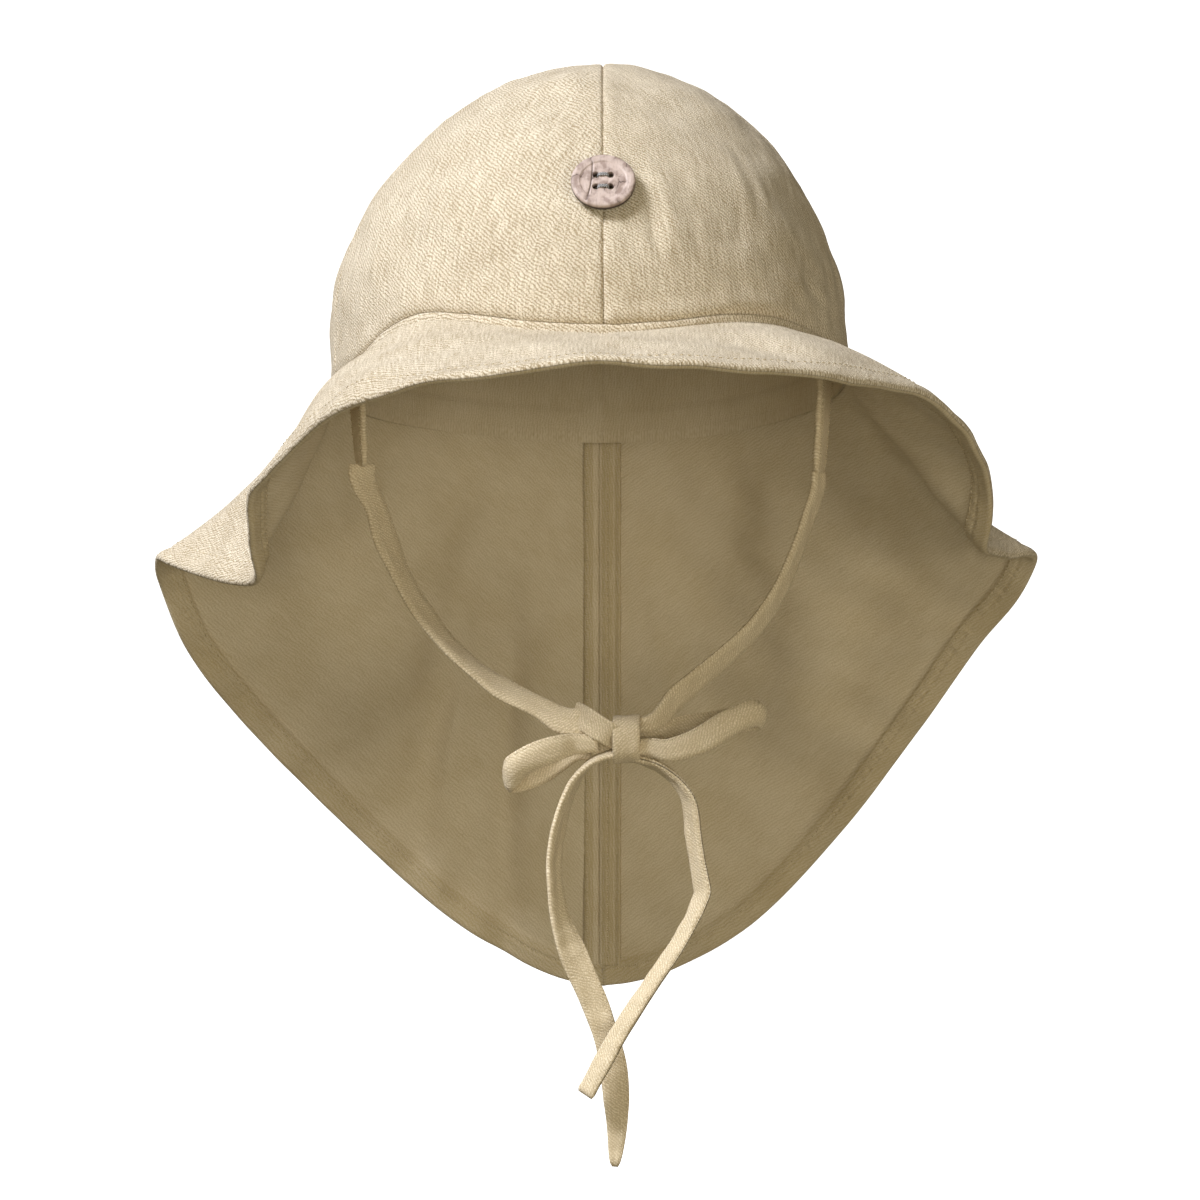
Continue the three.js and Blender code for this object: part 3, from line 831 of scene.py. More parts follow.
@dataclass(frozen=True)
class TwillFinish:
    """Undyed hemp and linen twill: fine slanting ribs, uneven grainy threads, small flecks and gathered hems, with
    painted shade along the hem band and the back seam's stitching.
    """

    name: str
    lit: Colour
    deep: Colour
    reverse: Colour
    rib_pitch: float = 0.95
    beading: float = 0.1
    rib_slant: float = 38.0
    reverse_slant: float = 80.0
    relief: float = 0.00034
    unevenness: float = 0.5
    grain_scale: float = 2.3
    calm_reverse: float = -0.55
    reverse_light: float = 0.22
    patch_depth: float = 0.14
    stitch_line: float = 5.6
    pucker_reach: float = 3.2
    # Within the first hem distance the reverse face is darkened, fading out by the second: painted shade along the
    # hem band.
    hem_band: tuple[float, float] = (8.4, 9.2)
    band_shade: float = 0.2

    def ribs(self, sheet: NodeSheet, across: object, down: object, face: object) -> Socket:
        """Makes the height of the ribs, steeper on the reverse of the cloth.

        Args:
            sheet: The tree that takes the nodes.
            across: Weft coordinate in millimetres.
            down: Warp coordinate in millimetres.
            face: 0 on the outer face of the cloth and 1 on its reverse.

        Returns:
            The height, from 0 to 1.
        """
        front, back = math.radians(self.rib_slant), math.radians(self.reverse_slant)
        turn = sheet.math("MULTIPLY_ADD", face, back - front, front)
        rise, level = sheet.math("COSINE", turn), sheet.math("SINE", turn)
        square = sheet.less(sheet.times(down, rise), sheet.times(across, level))
        along = sheet.plus(sheet.times(across, rise), sheet.times(down, level))
        wander = sheet.noise(sheet.vector(across, down), 0.3, 2.0)
        count = sheet.math("MULTIPLY_ADD", square, 1 / self.rib_pitch, sheet.times(wander, 2.2))
        wave = sheet.math("COSINE", sheet.times(count, 2 * math.pi))
        crest = sheet.spread(wave, -1.0, 0.3, -1.0, 1.0)
        steps = sheet.math(
            "MULTIPLY_ADD", sheet.math("ROUND", count), math.pi, sheet.times(along, 8.6 / self.rib_pitch)
        )
        beads = sheet.math("COSINE", steps)
        return sheet.math("MULTIPLY_ADD", crest, 0.24, sheet.math("MULTIPLY_ADD", beads, self.beading, 0.44))

    def make(self) -> Material:
        """Builds the material from the cloth and trim coordinates of the mesh.

        Returns:
            The material.
        """
        sheet = NodeSheet(self.name)
        across, down, face = sheet.attribute("cloth")
        edge, run, gather_and_shade = sheet.attribute("trim")
        flip = sheet.math("MULTIPLY", face, 1.0, clamp=True)
        weave = self.ribs(sheet, across, down, flip)
        place = sheet.vector(across, down)
        warp = sheet.noise(sheet.scaled(across, down, 1.7, 0.12), 1.0)
        grain = sheet.noise(place, self.grain_scale, 2.0)
        patch = sheet.noise(place, 0.05, 2.0)
        ticks = sheet.noise(sheet.scaled(run, edge, 0.5, 0.1), 1.0)
        near = sheet.math("ABSOLUTE", sheet.less(edge, self.stitch_line))
        puckers = sheet.times(sheet.spread(near, 0.0, self.pucker_reach, 1.0, 0.0), gather_and_shade)
        soft = sheet.math("MULTIPLY_ADD", grain, 1.0, sheet.times(weave, 0.42))
        soft = sheet.math("MULTIPLY_ADD", warp, self.unevenness, soft)
        calm = sheet.math("MULTIPLY_ADD", flip, self.calm_reverse, 1.0)
        height = sheet.math(
            "MULTIPLY_ADD", sheet.times(ticks, puckers), 2.2, sheet.times(soft, calm)
        )
        light = sheet.spread(soft, 0.7, 1.22, 0.0, 1.0)
        light = sheet.plus(sheet.times(light, calm), sheet.times(flip, self.reverse_light))
        # Painted shade: the reverse face is darkened along the hem band, scaled by the trim's strength; the back
        # seam's trim puts this darkening along its stitch rows and edge.
        band = sheet.times(sheet.spread(edge, *self.hem_band, self.band_shade, 0.0), flip)
        light = sheet.math("SUBTRACT", light, sheet.math("MULTIPLY", band, gather_and_shade), clamp=True)
        worn = sheet.math("SUBTRACT", light, sheet.spread(patch, 0.35, 0.7, 0.0, self.patch_depth), clamp=True)
        colour = sheet.blend(worn, sheet.blend(flip, self.deep, self.reverse), self.lit)
        specks = sheet.noise(
            sheet.scaled(across, down, 0.55, 2.0, 7.0), 1.0, 1.0
        )
        colour = sheet.blend(sheet.spread(specks, 0.68, 0.78, 0.0, 0.35), colour, self.deep)
        return sheet.finish(colour, 0.92, height, self.relief, sheen=0.06)


@dataclass(frozen=True)
class ThreadFinish:
    """Spun sewing thread, twisted and a little fuzzy."""

    name: str
    colour: Colour
    dark: Colour

    def make(self) -> Material:
        """Builds the material from the place on the object.

        Returns:
            The material.
        """
        sheet = NodeSheet(self.name)
        place = sheet.node("ShaderNodeTexCoord").outputs["Object"]
        twist = sheet.node("ShaderNodeTexWave", wave_type="BANDS", bands_direction="DIAGONAL")
        sheet.plug(twist.inputs["Vector"], place)
        twist.inputs["Scale"].default_value = 900.0
        twist.inputs["Distortion"].default_value = 1.5
        fuzz = sheet.noise(place, 2600.0)
        height = sheet.plus(twist.outputs["Fac"], sheet.times(fuzz, 0.6))
        colour = sheet.blend(sheet.spread(height, 0.2, 1.3, 0.0, 1.0), self.dark, self.colour)
        return sheet.finish(colour, 0.85, height, 0.00008, sheen=0.1)


@dataclass(frozen=True)
class ShellFinish:
    """Weathered coconut shell: grey pink face, dark brown body, streaks, pits and cracks."""

    name: str
    face: Colour
    streak: Colour
    body: Colour

    def make(self) -> Material:
        """Builds the material from the disc's own coordinates, kept in the cloth attribute.

        Returns:
            The material.
        """
        sheet = NodeSheet(self.name)
        across, up, _ = sheet.attribute("cloth")
        depth, cut, _ = sheet.attribute("trim")
        place = sheet.vector(across, up)
        cloud = sheet.noise(place, 0.3, 4.0)
        grain = sheet.noise(
            sheet.scaled(across, up, 0.9, 0.22), 1.6, 4.0
        )
        cells = sheet.node("ShaderNodeTexVoronoi", feature="DISTANCE_TO_EDGE")
        bent = sheet.vector(
            sheet.plus(across, sheet.times(cloud, 3.0)),
            sheet.plus(sheet.times(up, 0.6), sheet.times(grain, 2.0)),
        )
        sheet.plug(cells.inputs["Vector"], bent)
        cells.inputs["Scale"].default_value = 0.3
        split = sheet.spread(cells.outputs[0], 0.0, 0.035, 1.0, 0.0)
        crack = sheet.times(split, sheet.spread(cloud, 0.5, 0.62, 0.0, 1.0))
        pits = sheet.spread(sheet.noise(place, 3.2, 2.0), 0.66, 0.74, 0.0, 1.0)
        tone = sheet.blend(sheet.spread(cloud, 0.42, 0.6, 0.0, 0.8), self.face, self.streak)
        tone = sheet.blend(sheet.spread(grain, 0.5, 0.75, 0.0, 0.6), tone, self.streak)
        marked = sheet.blend(sheet.times(sheet.math("MAXIMUM", crack, pits), 0.75), tone, self.body)
        marked = sheet.blend(sheet.times(cut, 0.7), marked, self.body)
        colour = sheet.blend(sheet.spread(depth, 0.0, 1.0, 0.0, 1.0), marked, self.body)
        height = sheet.less(sheet.times(grain, 0.5), sheet.times(crack, 0.8))
        height = sheet.less(height, sheet.times(pits, 0.5))
        return sheet.finish(colour, 0.55, height, 0.00022)


@dataclass(frozen=True)
class PaperFinish:
    """Plain pale paper of the floor and backdrop."""

    name: str
    shade: Colour
    glow: float

    def make(self) -> Material:
        """Builds the material with a barely uneven tone.

        Returns:
            The material.
        """
        sheet = NodeSheet(self.name)
        place = sheet.node("ShaderNodeTexCoord").outputs["Object"]
        tone = sheet.blend(sheet.noise(place, 3.0), self.shade, (0.9, 0.9, 0.9, 1.0))
        return sheet.finish(tone, 0.95, None, 0.0, emission=self.glow)


class Wardrobe:
    """All the finishes of the hat, each made once."""

    def __init__(self) -> None:
        """Makes every material."""
        self.twill = TwillFinish(
            "hemp_twill", lit=linear(230, 219, 199), deep=linear(160, 143, 114), reverse=linear(186, 169, 134)
        ).make()
        self.tie_twill = TwillFinish(
            "tie_twill",
            lit=linear(240, 227, 202),
            deep=linear(196, 179, 147),
            reverse=linear(194, 177, 144),
            rib_pitch=0.78,
            beading=0.06,
            reverse_slant=38.0,
            relief=0.0002,
            unevenness=0.3,
        ).make()
        self.seam_thread = ThreadFinish("seam_thread", linear(222, 208, 178), linear(150, 132, 98)).make()
        self.button_thread = ThreadFinish("grey_thread", linear(172, 172, 174), linear(96, 96, 98)).make()
        self.shell = ShellFinish(
            "coconut_shell", linear(192, 174, 166), linear(142, 122, 114), linear(46, 32, 26)
        ).make()
        # Near-black shell for the walls of the sewing holes: painted shade inside the holes.
        self.painted_hole_shade = ShellFinish("painted_hole_shade_shell", linear(40, 28, 24), linear(24, 16, 14), linear(16, 10, 8)).make()
        self.paper = PaperFinish("white_paper", (0.86, 0.86, 0.86, 1.0), 0.95).make()


def settle(piece: Piece, slot: str, *nodes: str) -> Piece:
    """Rides a piece on the hat's one body, hides the nodes that it stands for, and reports it.

    Args:
        piece: The finished piece.
        slot: Material slot of the record; not used.
        *nodes: Nodes that the piece stands for.

    Returns:
        The piece.
    """
    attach(piece, "root")
    if nodes:
        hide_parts(*nodes)
    size = piece.dimensions
    LOG.info("%s: %d faces, %.0f x %.0f x %.0f mm", piece.name, len(piece.data.polygons), *(1000 * s for s in size))
    return piece


@dataclass(frozen=True)
class StitchRun:
    """A row of sewing thread stitches that lie in cloth."""

    pitch: float = 0.0022
    length: float = 0.0015
    radius: float = 0.00016
    rise: float = 0.00012
    sides: int = 6
    rings: int = 5

    def sew(self, maker: MeshMaker, line: Array, normals: Array) -> None:
        """Adds the stitches of one seam to a mesh.

        Args:
            maker: The mesh that takes them.
            line: Points along the seam, on the cloth's surface.
            normals: The cloth's outward direction at each point.
        """
        run = arc_lengths(line, 0)
        count = int(run[-1] / self.pitch)
        if count < 1:
            return
        starts = (np.arange(count) + 0.5) * self.pitch - self.length / 2
        shares = np.linspace(0, 1, self.rings)
        places = starts[:, None] + shares * self.length
        centre = read_along(line, run, places)
        up = unit(read_along(normals, run, places))
        arch = (self.rise + self.radius * 0.4) * np.sin(np.pi * shares)[:, None]
        centre = centre + up * (arch - self.radius * 0.6)
        ahead = unit(np.gradient(centre, axis=1))
        side = unit(np.cross(ahead, up))
        turn = np.linspace(0, 2 * np.pi, self.sides, endpoint=False)
        girth = self.radius * np.array([0.35, *([1.0] * (self.rings - 2)), 0.35])
        ring = side[:, :, None] * np.cos(turn)[:, None] + up[:, :, None] * np.sin(turn)[:, None]
        points = centre[:, :, None] + ring * girth[:, None, None]
        block = tube_faces(self.rings, self.sides)
        size = self.rings * self.sides
        faces = (block[None] + (np.arange(count) * size)[:, None, None]).reshape(-1, 4)
        caps = []
        for first in (0, (self.rings - 1) * self.sides):
            for k in range(0, self.sides - 2, 2):
                quad = [first, first + k + 1, first + k + 2, first + (k + 3) % self.sides]
                caps.append(quad if first else quad[::-1])
        caps = (np.array(caps)[None] + (np.arange(count) * size)[:, None, None]).reshape(-1, 4)
        keep = np.array([len(set(face)) == 4 for face in caps.tolist()])
        maker.add(points, np.vstack([faces, caps[keep]]))


@dataclass
class Crown:
    """The four cloth panels of the crown, with turned and felled seams."""

    form: HatForm
    finish: Material
    side_seam: float = 75.0
    rows: int = 96
    wall: float = 0.0012
    seam_depth: float = 0.0007
    seam_width: float = 0.00042
    lip: float = 0.00018
    fell_width: float = 0.0055
    fell_wall: float = 0.0007
    apex: float = 0.0002
    tuck: float = 0.0035
    soft_wave: float = 0.0005
    small_wave: float = 0.00014
    pucker: float = 0.0001
    ripple_depth: float = 0.00034
    band_width: float = 0.007
    stitch_dent: float = 0.0002
    stitch_width: float = 0.0004
    creases: tuple[Crease, ...] = (
        Crease((-16.9, 109.9), (63.4, 108.1), 0.4, -0.16),
        Crease((-32, 107), (-26, 99), 1.8, -0.8),
        Crease((-30, 112), (-28, 106), 2.6, 0.4),
        Crease((13, 121), (17, 104), 1.8, -0.7),
        Crease((19, 126), (22, 108), 2.4, 0.5),
        Crease((27, 118), (29, 103), 1.5, -0.4),
        Crease((41, 120), (42, 108), 1.8, -0.35),
        Crease((34, 102), (46, 92), 2.4, -0.4),
        Crease((4, 104), (12, 96), 3.0, 0.4),
        Crease((57, 108), (69, 92), 1.6, -0.7),
        Crease((52, 102), (66, 86), 1.8, 0.5),
        Crease((60, 100), (70, 84), 1.2, -0.5),
        Crease((-52, 116), (-46, 98), 3.2, -0.4),
        Crease((-14, 112), (-8, 96), 3.4, 0.35),
        Crease((56, 140), (66, 122), 3.4, -0.6),
    )

    def columns(self) -> Array:
        """Gives the columns' shares across a panel, close together beside its seams.

        Returns:
            The shares, from 0 to 1.
        """
        edge = np.array([0, 0.002, 0.004, 0.0065, 0.01, 0.015, 0.022, 0.031, 0.042, 0.055])
        middle = np.linspace(0.068, 0.932, 74)
        return np.concatenate([edge, middle, 1 - edge[::-1]])

    def panel(self, name: str, start: float, end: float, seed: int) -> Piece:
        """Builds one panel with its seam edges tucked in.

        Args:
            name: The panel's node.
            start: Angle of its first side seam, in degrees.
            end: Angle of its last side seam.
            seed: Seed of its unevenness.

        Returns:
            The panel's object.
        """
        across = self.columns()
        near_end = 1 - (1 - np.linspace(0, 1, self.rows)) ** 1.45
        shares = self.apex / self.form.crown_left + (1 - self.apex / self.form.crown_left) * near_end
        angle = np.clip(start + (end - start) * across, -180 + 1e-6, 180)[None, :]
        grid = self.form.crown(np.broadcast_to(angle, (self.rows, len(across))), shares[:, None])
        width = arc_lengths(grid, 1)
        fall = arc_lengths(grid, 0)
        to_side = np.minimum(width, width[:, -1:] - width)
        to_seam = fall[-1:] - fall
        middle = len(across) // 2
        weft = width - width[:, middle : middle + 1]
        normals = grid_normals(grid)
        groove = bell(to_side, 0, self.seam_width)
        lips = bell(to_side, 0.0024, 0.0017)
        near_seams = np.exp(-to_side / 0.006) + np.exp(-to_seam / 0.007)
        height = -self.seam_depth * groove + self.lip * lips
        height = height + self.soft_wave * Ripples(seed, 0.034).at(weft, fall) * np.clip(to_side / 0.01, 0, 1)
        height = height + self.small_wave * Ripples(seed + 4, 0.014).at(weft, fall) * np.clip(to_side / 0.006, 0, 1)
        height = height + self.pucker * Ripples(seed + 1, 0.007).at(weft, fall) * near_seams
        foot = bell(to_seam, 0, 0.0006)
        height = height - 0.0005 * foot + 0.0003 * bell(to_seam, 0.003, 0.002)
        front = grid[..., 1] < -0.01
        upright = Ripples(seed + 2, 0.011).at(weft * 1.25, fall * 0.22)
        patchy = np.clip(0.4 + Ripples(seed + 3, 0.03).at(weft, fall), 0, 1.3)
        level = bell(to_seam, 0.03, 0.02)
        shaded = np.where(grid[..., 0] > 0, 1.0, 0.45)
        height = height + self.ripple_depth * upright * patchy * level * front * shaded
        for crease in self.creases:
            height = height + np.where(front, crease.press(grid), 0)
        outer = grid + normals * height[..., None]
        fell = self.fell_wall * step_down(to_side, self.fell_width, 0.00025)
        band = self.fell_wall * step_down(to_seam, self.band_width, 0.00025)
        rows_of_stitches = bell(to_side, self.fell_width - 0.0014, self.stitch_width)
        rows_of_stitches = rows_of_stitches + bell(to_seam, self.band_width - 0.0014, self.stitch_width)
        stitch = self.stitch_dent * rows_of_stitches
        depth = self.wall + np.maximum(fell, band) - stitch
        inner = grid + normals * (np.minimum(height, 0) * 0.3 - depth)[..., None]
        tuck = np.array([[0, 0, -self.tuck]])
        outer = np.concatenate([outer, outer[-1:] - normals[-1:] * 0.0009 + tuck * 0.1], 0)
        inner = np.concatenate([inner, inner[-1:] + tuck], 0)
        outer = np.concatenate([outer, inner[-1:] + normals[-1:] * 0.0006], 0)
        inner = np.concatenate([inner, inner[-1:] + tuck * 0.02], 0)
        rows = len(outer)
        weft = np.vstack([weft, weft[-1:], weft[-1:]]) / MM
        fall = np.vstack([fall, fall[-1:] + 0.001, fall[-1:] + 0.004]) / MM
        cloth = np.stack([np.stack([weft, fall, np.full_like(weft, face.value)], -1) for face in Face])
        maker = MeshMaker(name + "_cloth")
        maker.add(np.stack([outer, inner]), wall_faces(rows, len(across)), cloth)
        return settle(maker.build(self.finish), "twill_cloth", name)

    def build(self) -> None:
        edges = (
            ("crown_front_right", -self.side_seam, 0.0),
            ("crown_front_left", 0.0, self.side_seam),
            ("crown_back_right", -180.0, -self.side_seam),
            ("crown_back_left", self.side_seam, 180.0),
        )
        for seed, (name, start, end) in enumerate(edges, 11):
            panel = self.panel(name, start, end, seed * 7)


@dataclass
class BrimAndFlap:
    """The ring of cloth from the short brim in front round to the long neck flap, with its turned hem."""

    form: HatForm
    finish: Material
    thread: Material
    columns: int = 521
    wall: float = 0.0013
    hem_wall: float = 0.0011
    hem_width: float = 0.0088
    stitch_inset: float = 0.0056
    crowding: float = 12.0
    soft_wave: float = 0.0008
    small_wave: float = 0.0004
    hem_pucker: float = 0.00012
    seam_pucker: float = 0.00005
    nape_groove: float = 0.0006
    hem_roll: float = 0.00035
    hem_rows: tuple[float, ...] = (
        *(0, 0.05, 0.16, 0.34, 0.6, 0.95, 1.5, 2.3, 3.2, 4.1, 4.8, 5.2, 5.6, 6, 6.5, 7.2, 8, 8.4, 8.7, 9, 9.4),
        10.2,
    )
    stand_rows: tuple[float, ...] = (1.0, 0.88, 0.74, 0.58, 0.4, 0.2)
    creases: tuple[Crease, ...] = (
        Crease((-3.3, 79.4), (1.2, 79.8), 0.9, -0.9),
        Crease((5.1, 79.1), (39.3, 77.6), 0.6, -0.35),
        Crease((12, 82), (32, 83.5), 2.6, 0.6),
        Crease((-60, 80), (-30, 84), 3.0, 0.5),
        Crease((99.4, 32), (107.2, 24.5), 2.2, 1.6),
        Crease((107.2, 24.5), (113.2, 13.6), 2.0, 1.6),
        Crease((114.5, -4.5), (92.7, -14.8), 3.2, -1.5),
        Crease((-28, 2), (-30, -110), 5.0, 5.4),
        Crease((-41, 0), (-50, -92), 5.5, -4.6),
        Crease((86, 8), (60, -70), 9.0, 2.0),
        Crease((-78, 10), (-66, -40), 7.0, 1.6),
    )

    def angles(self) -> Array:
        """Gives the columns' angles, closer together at the two sides."""
        turn = np.linspace(0, 1, self.columns)
        return -179.97 + 359.94 * turn + self.crowding * np.sin(4 * np.pi * turn)

    def build(self) -> None:
        angle = self.angles()
        near = np.array(self.hem_rows) * MM
        start, end = (self.form.flap(angle, np.full_like(angle, share)) for share in (0.0, 1.0))
        reach = np.linalg.norm(start - end, axis=-1)
        above = np.linspace(0, 1, 66)[:-1, None] * (1 - near[-1] / reach)[None, :]
        below = 1 - near[::-1, None] / reach[None, :]
        share = np.vstack([above, below])
        grid = self.form.flap(np.broadcast_to(angle, share.shape), share)
        rises = np.array(self.stand_rows)[:, None, None]
        stand = grid[:1] + rises * np.array([0, 0, self.form.seam_stand])
        grid = np.concatenate([stand, grid], 0)
        fall = arc_lengths(grid, 0)
        hem = fall[-1:] - fall
        flat = flat_pattern(grid, fall)
        weft, warp = flat[..., 0], flat[..., 1]
        run = arc_lengths(grid[-1], 0)
        normals = grid_normals(grid)
        nape = np.minimum(arc_lengths(grid, 1), arc_lengths(grid[:, ::-1], 1)[:, ::-1])
        ramp = np.clip((fall - 0.003) / 0.012, 0, 1) * np.clip(nape / 0.02, 0, 1)
        height = self.soft_wave * ramp * Ripples(5, 0.045).at(weft, warp)
        height = height + self.small_wave * ramp * Ripples(9, 0.02).at(weft, warp)
        beside = np.exp(-np.abs(hem - self.stitch_inset) / 0.003)
        height = height + self.hem_pucker * Ripples(6, 0.009).at(run[None], fall) * beside
        height = height + self.seam_pucker * Ripples(8, 0.006).at(run[None], fall) * np.exp(-fall / 0.006)
        height = height + 0.00022 * bell(fall, 0.0038, 0.002) - 0.0005 * np.exp(-fall / 0.00035)
        height = height - self.nape_groove * bell(nape, 0, 0.0005) + 0.0003 * bell(nape, 0.0035, 0.0025)
        for crease in self.creases:
            height = height + crease.press(grid)
        middle = grid + normals * height[..., None]
        radius = (self.wall + self.hem_wall) / 2
        inside = np.clip(radius - hem, 0, radius)
        rim = radius - np.sqrt(np.maximum(radius**2 - inside**2, (0.08 * radius) ** 2))
        step = step_down(hem, self.hem_width, 0.00014)
        groove = bell(hem, self.stitch_inset, 0.0005)
        dip = bell(hem, self.hem_width + 0.0004, 0.0005)
        thin = 0.0009 + (self.wall - 0.0009) * np.clip(fall / 0.02, 0, 1)
        roll = self.hem_roll * bell(hem, 0.0026, 0.0017)
        outer = middle + normals * (roll - rim - 0.00018 * groove)[..., None]
        depth = thin + self.hem_wall * step + 0.4 * roll - 0.00045 * groove - 0.0004 * dip - rim
        inner = middle - normals * depth[..., None]
        along = np.broadcast_to(run[None] / MM, fall.shape)
        cloth = np.stack([np.stack([weft / MM, warp / MM, np.full_like(weft, face.value)], -1) for face in Face])
        # Strength 1 sets the hem's gathers and the painted shade along the hem band on the reverse face.
        trim = np.stack([np.stack([hem / MM, along, np.ones_like(weft)], -1)] * 2)
        maker = MeshMaker("brim_and_flap_cloth")
        maker.add(np.stack([outer, inner]), wall_faces(len(grid), self.columns), cloth, trim)
        piece = settle(maker.build(self.finish), "twill_cloth", "brim_and_flap")
        self.sew(outer, inner, normals, hem)

    def sew(self, outer: Array, inner: Array, normals: Array, hem: Array) -> None:
        """Sews the hem's stitches on both faces.

        Args:
            outer: The outer face's grid.
            inner: The inner face's grid.
            normals: Outward directions of the grid.
            hem: Distance of each point from the hem.
        """
        maker = MeshMaker("hem_stitching")
        row = int(np.abs(hem[:, 0] - self.stitch_inset).argmin())
        for grid, way in ((outer, 1.0), (inner, -1.0)):
            StitchRun().sew(maker, grid[row], normals[row] * way)
        settle(maker.build(self.thread), "sewing_thread")


def nape_offset(form: HatForm, offset: float, share: Array) -> Array:
    """Finds the angles near the nape at which the flap lies a given way off the middle.

    Args:
        form: The hat's form.
        offset: Distance off the middle towards the wearer's left.
        share: Shares of the flap's depth.

    Returns:
        The angle for each share.
    """
    inner = np.full_like(share, 180.0)
    outer = np.full_like(share, 210.0 if offset < 0 else 150.0)
    for _ in range(30):
        middle = (inner + outer) / 2
        close = np.abs(form.flap(middle, share)[..., 0]) < abs(offset)
        inner = np.where(close, middle, inner)
        outer = np.where(close, outer, middle)
    return (inner + outer) / 2


@dataclass
class BackSeam:
    """The felled seam down the middle of the flap's inner face, with its fold and two rows of stitches."""

    form: HatForm
    finish: Material
    thread: Material
    wall: float = 0.0013
    clearance: float = 0.0001
    hem: float = 0.0096
    rows: int = 150
    stitch_columns: tuple[int, int] = (10, 23)
    places: tuple[float, ...] = (
        *(6.1, 6.05, 5.9, 5.6, 5.2, 4.6, 3.8, 2.8, 2.1, 1.85, 1.6, 1.35, 1, 0, -0.9, -1.15, -1.3, -1.45, -1.7),
        *(-2.4, -3.4, -4.4, -5, -5.3, -5.6, -6, -6.25, -6.35),
    )

    def build(self) -> None:
        """Builds the band and its stitches."""
        start, end = (self.form.flap(np.array(180.0), np.array(share)) for share in (0.0, 1.0))
        length = float(np.linalg.norm(start - end))
        share = np.linspace(0.0005 / length, 1 - self.hem / length, self.rows)
        places = np.array(self.places) * MM
        angle = np.stack([nape_offset(self.form, float(x), share) for x in places], 1)
        rows = np.broadcast_to(share[:, None], angle.shape)
        grid = self.form.flap(angle, rows)
        probe = 0.01
        across = self.form.flap(angle - probe, rows) - self.form.flap(angle + probe, rows)
        down = self.form.flap(angle, rows + probe) - self.form.flap(angle, rows - probe)
        outward = unit(np.cross(down, -across))
        off = places / MM
        level = np.where(off > -1.3, 1.0 - 0.36 * bell(off, 1.6, 0.4), 0.6)
        level = level + 0.2 * bell(off, 4.6, 1.4)
        level = level - 0.4 * bell(off, -1.3, 0.28) - 0.3 * bell(off, -5.3, 0.4)
        level = level * np.clip((off + 6.5) / 1.0, 0.1, 1)
        rounding = 0.5 * np.exp(-(6.1 - off) / 0.12) + 0.35 * np.exp(-(off + 6.35) / 0.12)
        height = self.wall * (level - rounding)
        fall = arc_lengths(grid, 0)
        wave = 0.00012 * Ripples(31, 0.006).at(np.broadcast_to(places, fall.shape), fall)
        seat = 0.0013 + self.clearance
        top = grid - outward * (seat + np.maximum(height, 0.0001) + wave)[..., None]
        foot = grid - outward * (seat - 0.0004)
        cloth = np.stack([np.broadcast_to(off, fall.shape), fall / MM, np.ones_like(fall)], -1)
        maker = MeshMaker("back_seam_band")
        # Made-up hem distances, nearest at the two stitch rows and the band's right edge, with a strength of 1.5:
        # the twill finish paints shade along the stitch grooves and that edge, and puckers the rows.
        near = np.minimum.reduce([np.abs(off - 1.6), np.abs(off + 5.3), np.abs(off - 6.1)])
        trim = np.stack([np.broadcast_to(5.6 + near * 1.6, fall.shape), fall / MM, np.full_like(fall, 1.5)], -1)
        maker.add(np.stack([foot, top]), wall_faces(*fall.shape), np.stack([cloth] * 2), np.stack([trim] * 2))
        settle(maker.build(self.finish), "twill_cloth", "back_seam")
        stitches = MeshMaker("back_seam_stitching")
        for column in self.stitch_columns:
            StitchRun().sew(stitches, top[:, column], -outward[:, column])
        settle(stitches.build(self.thread), "sewing_thread")


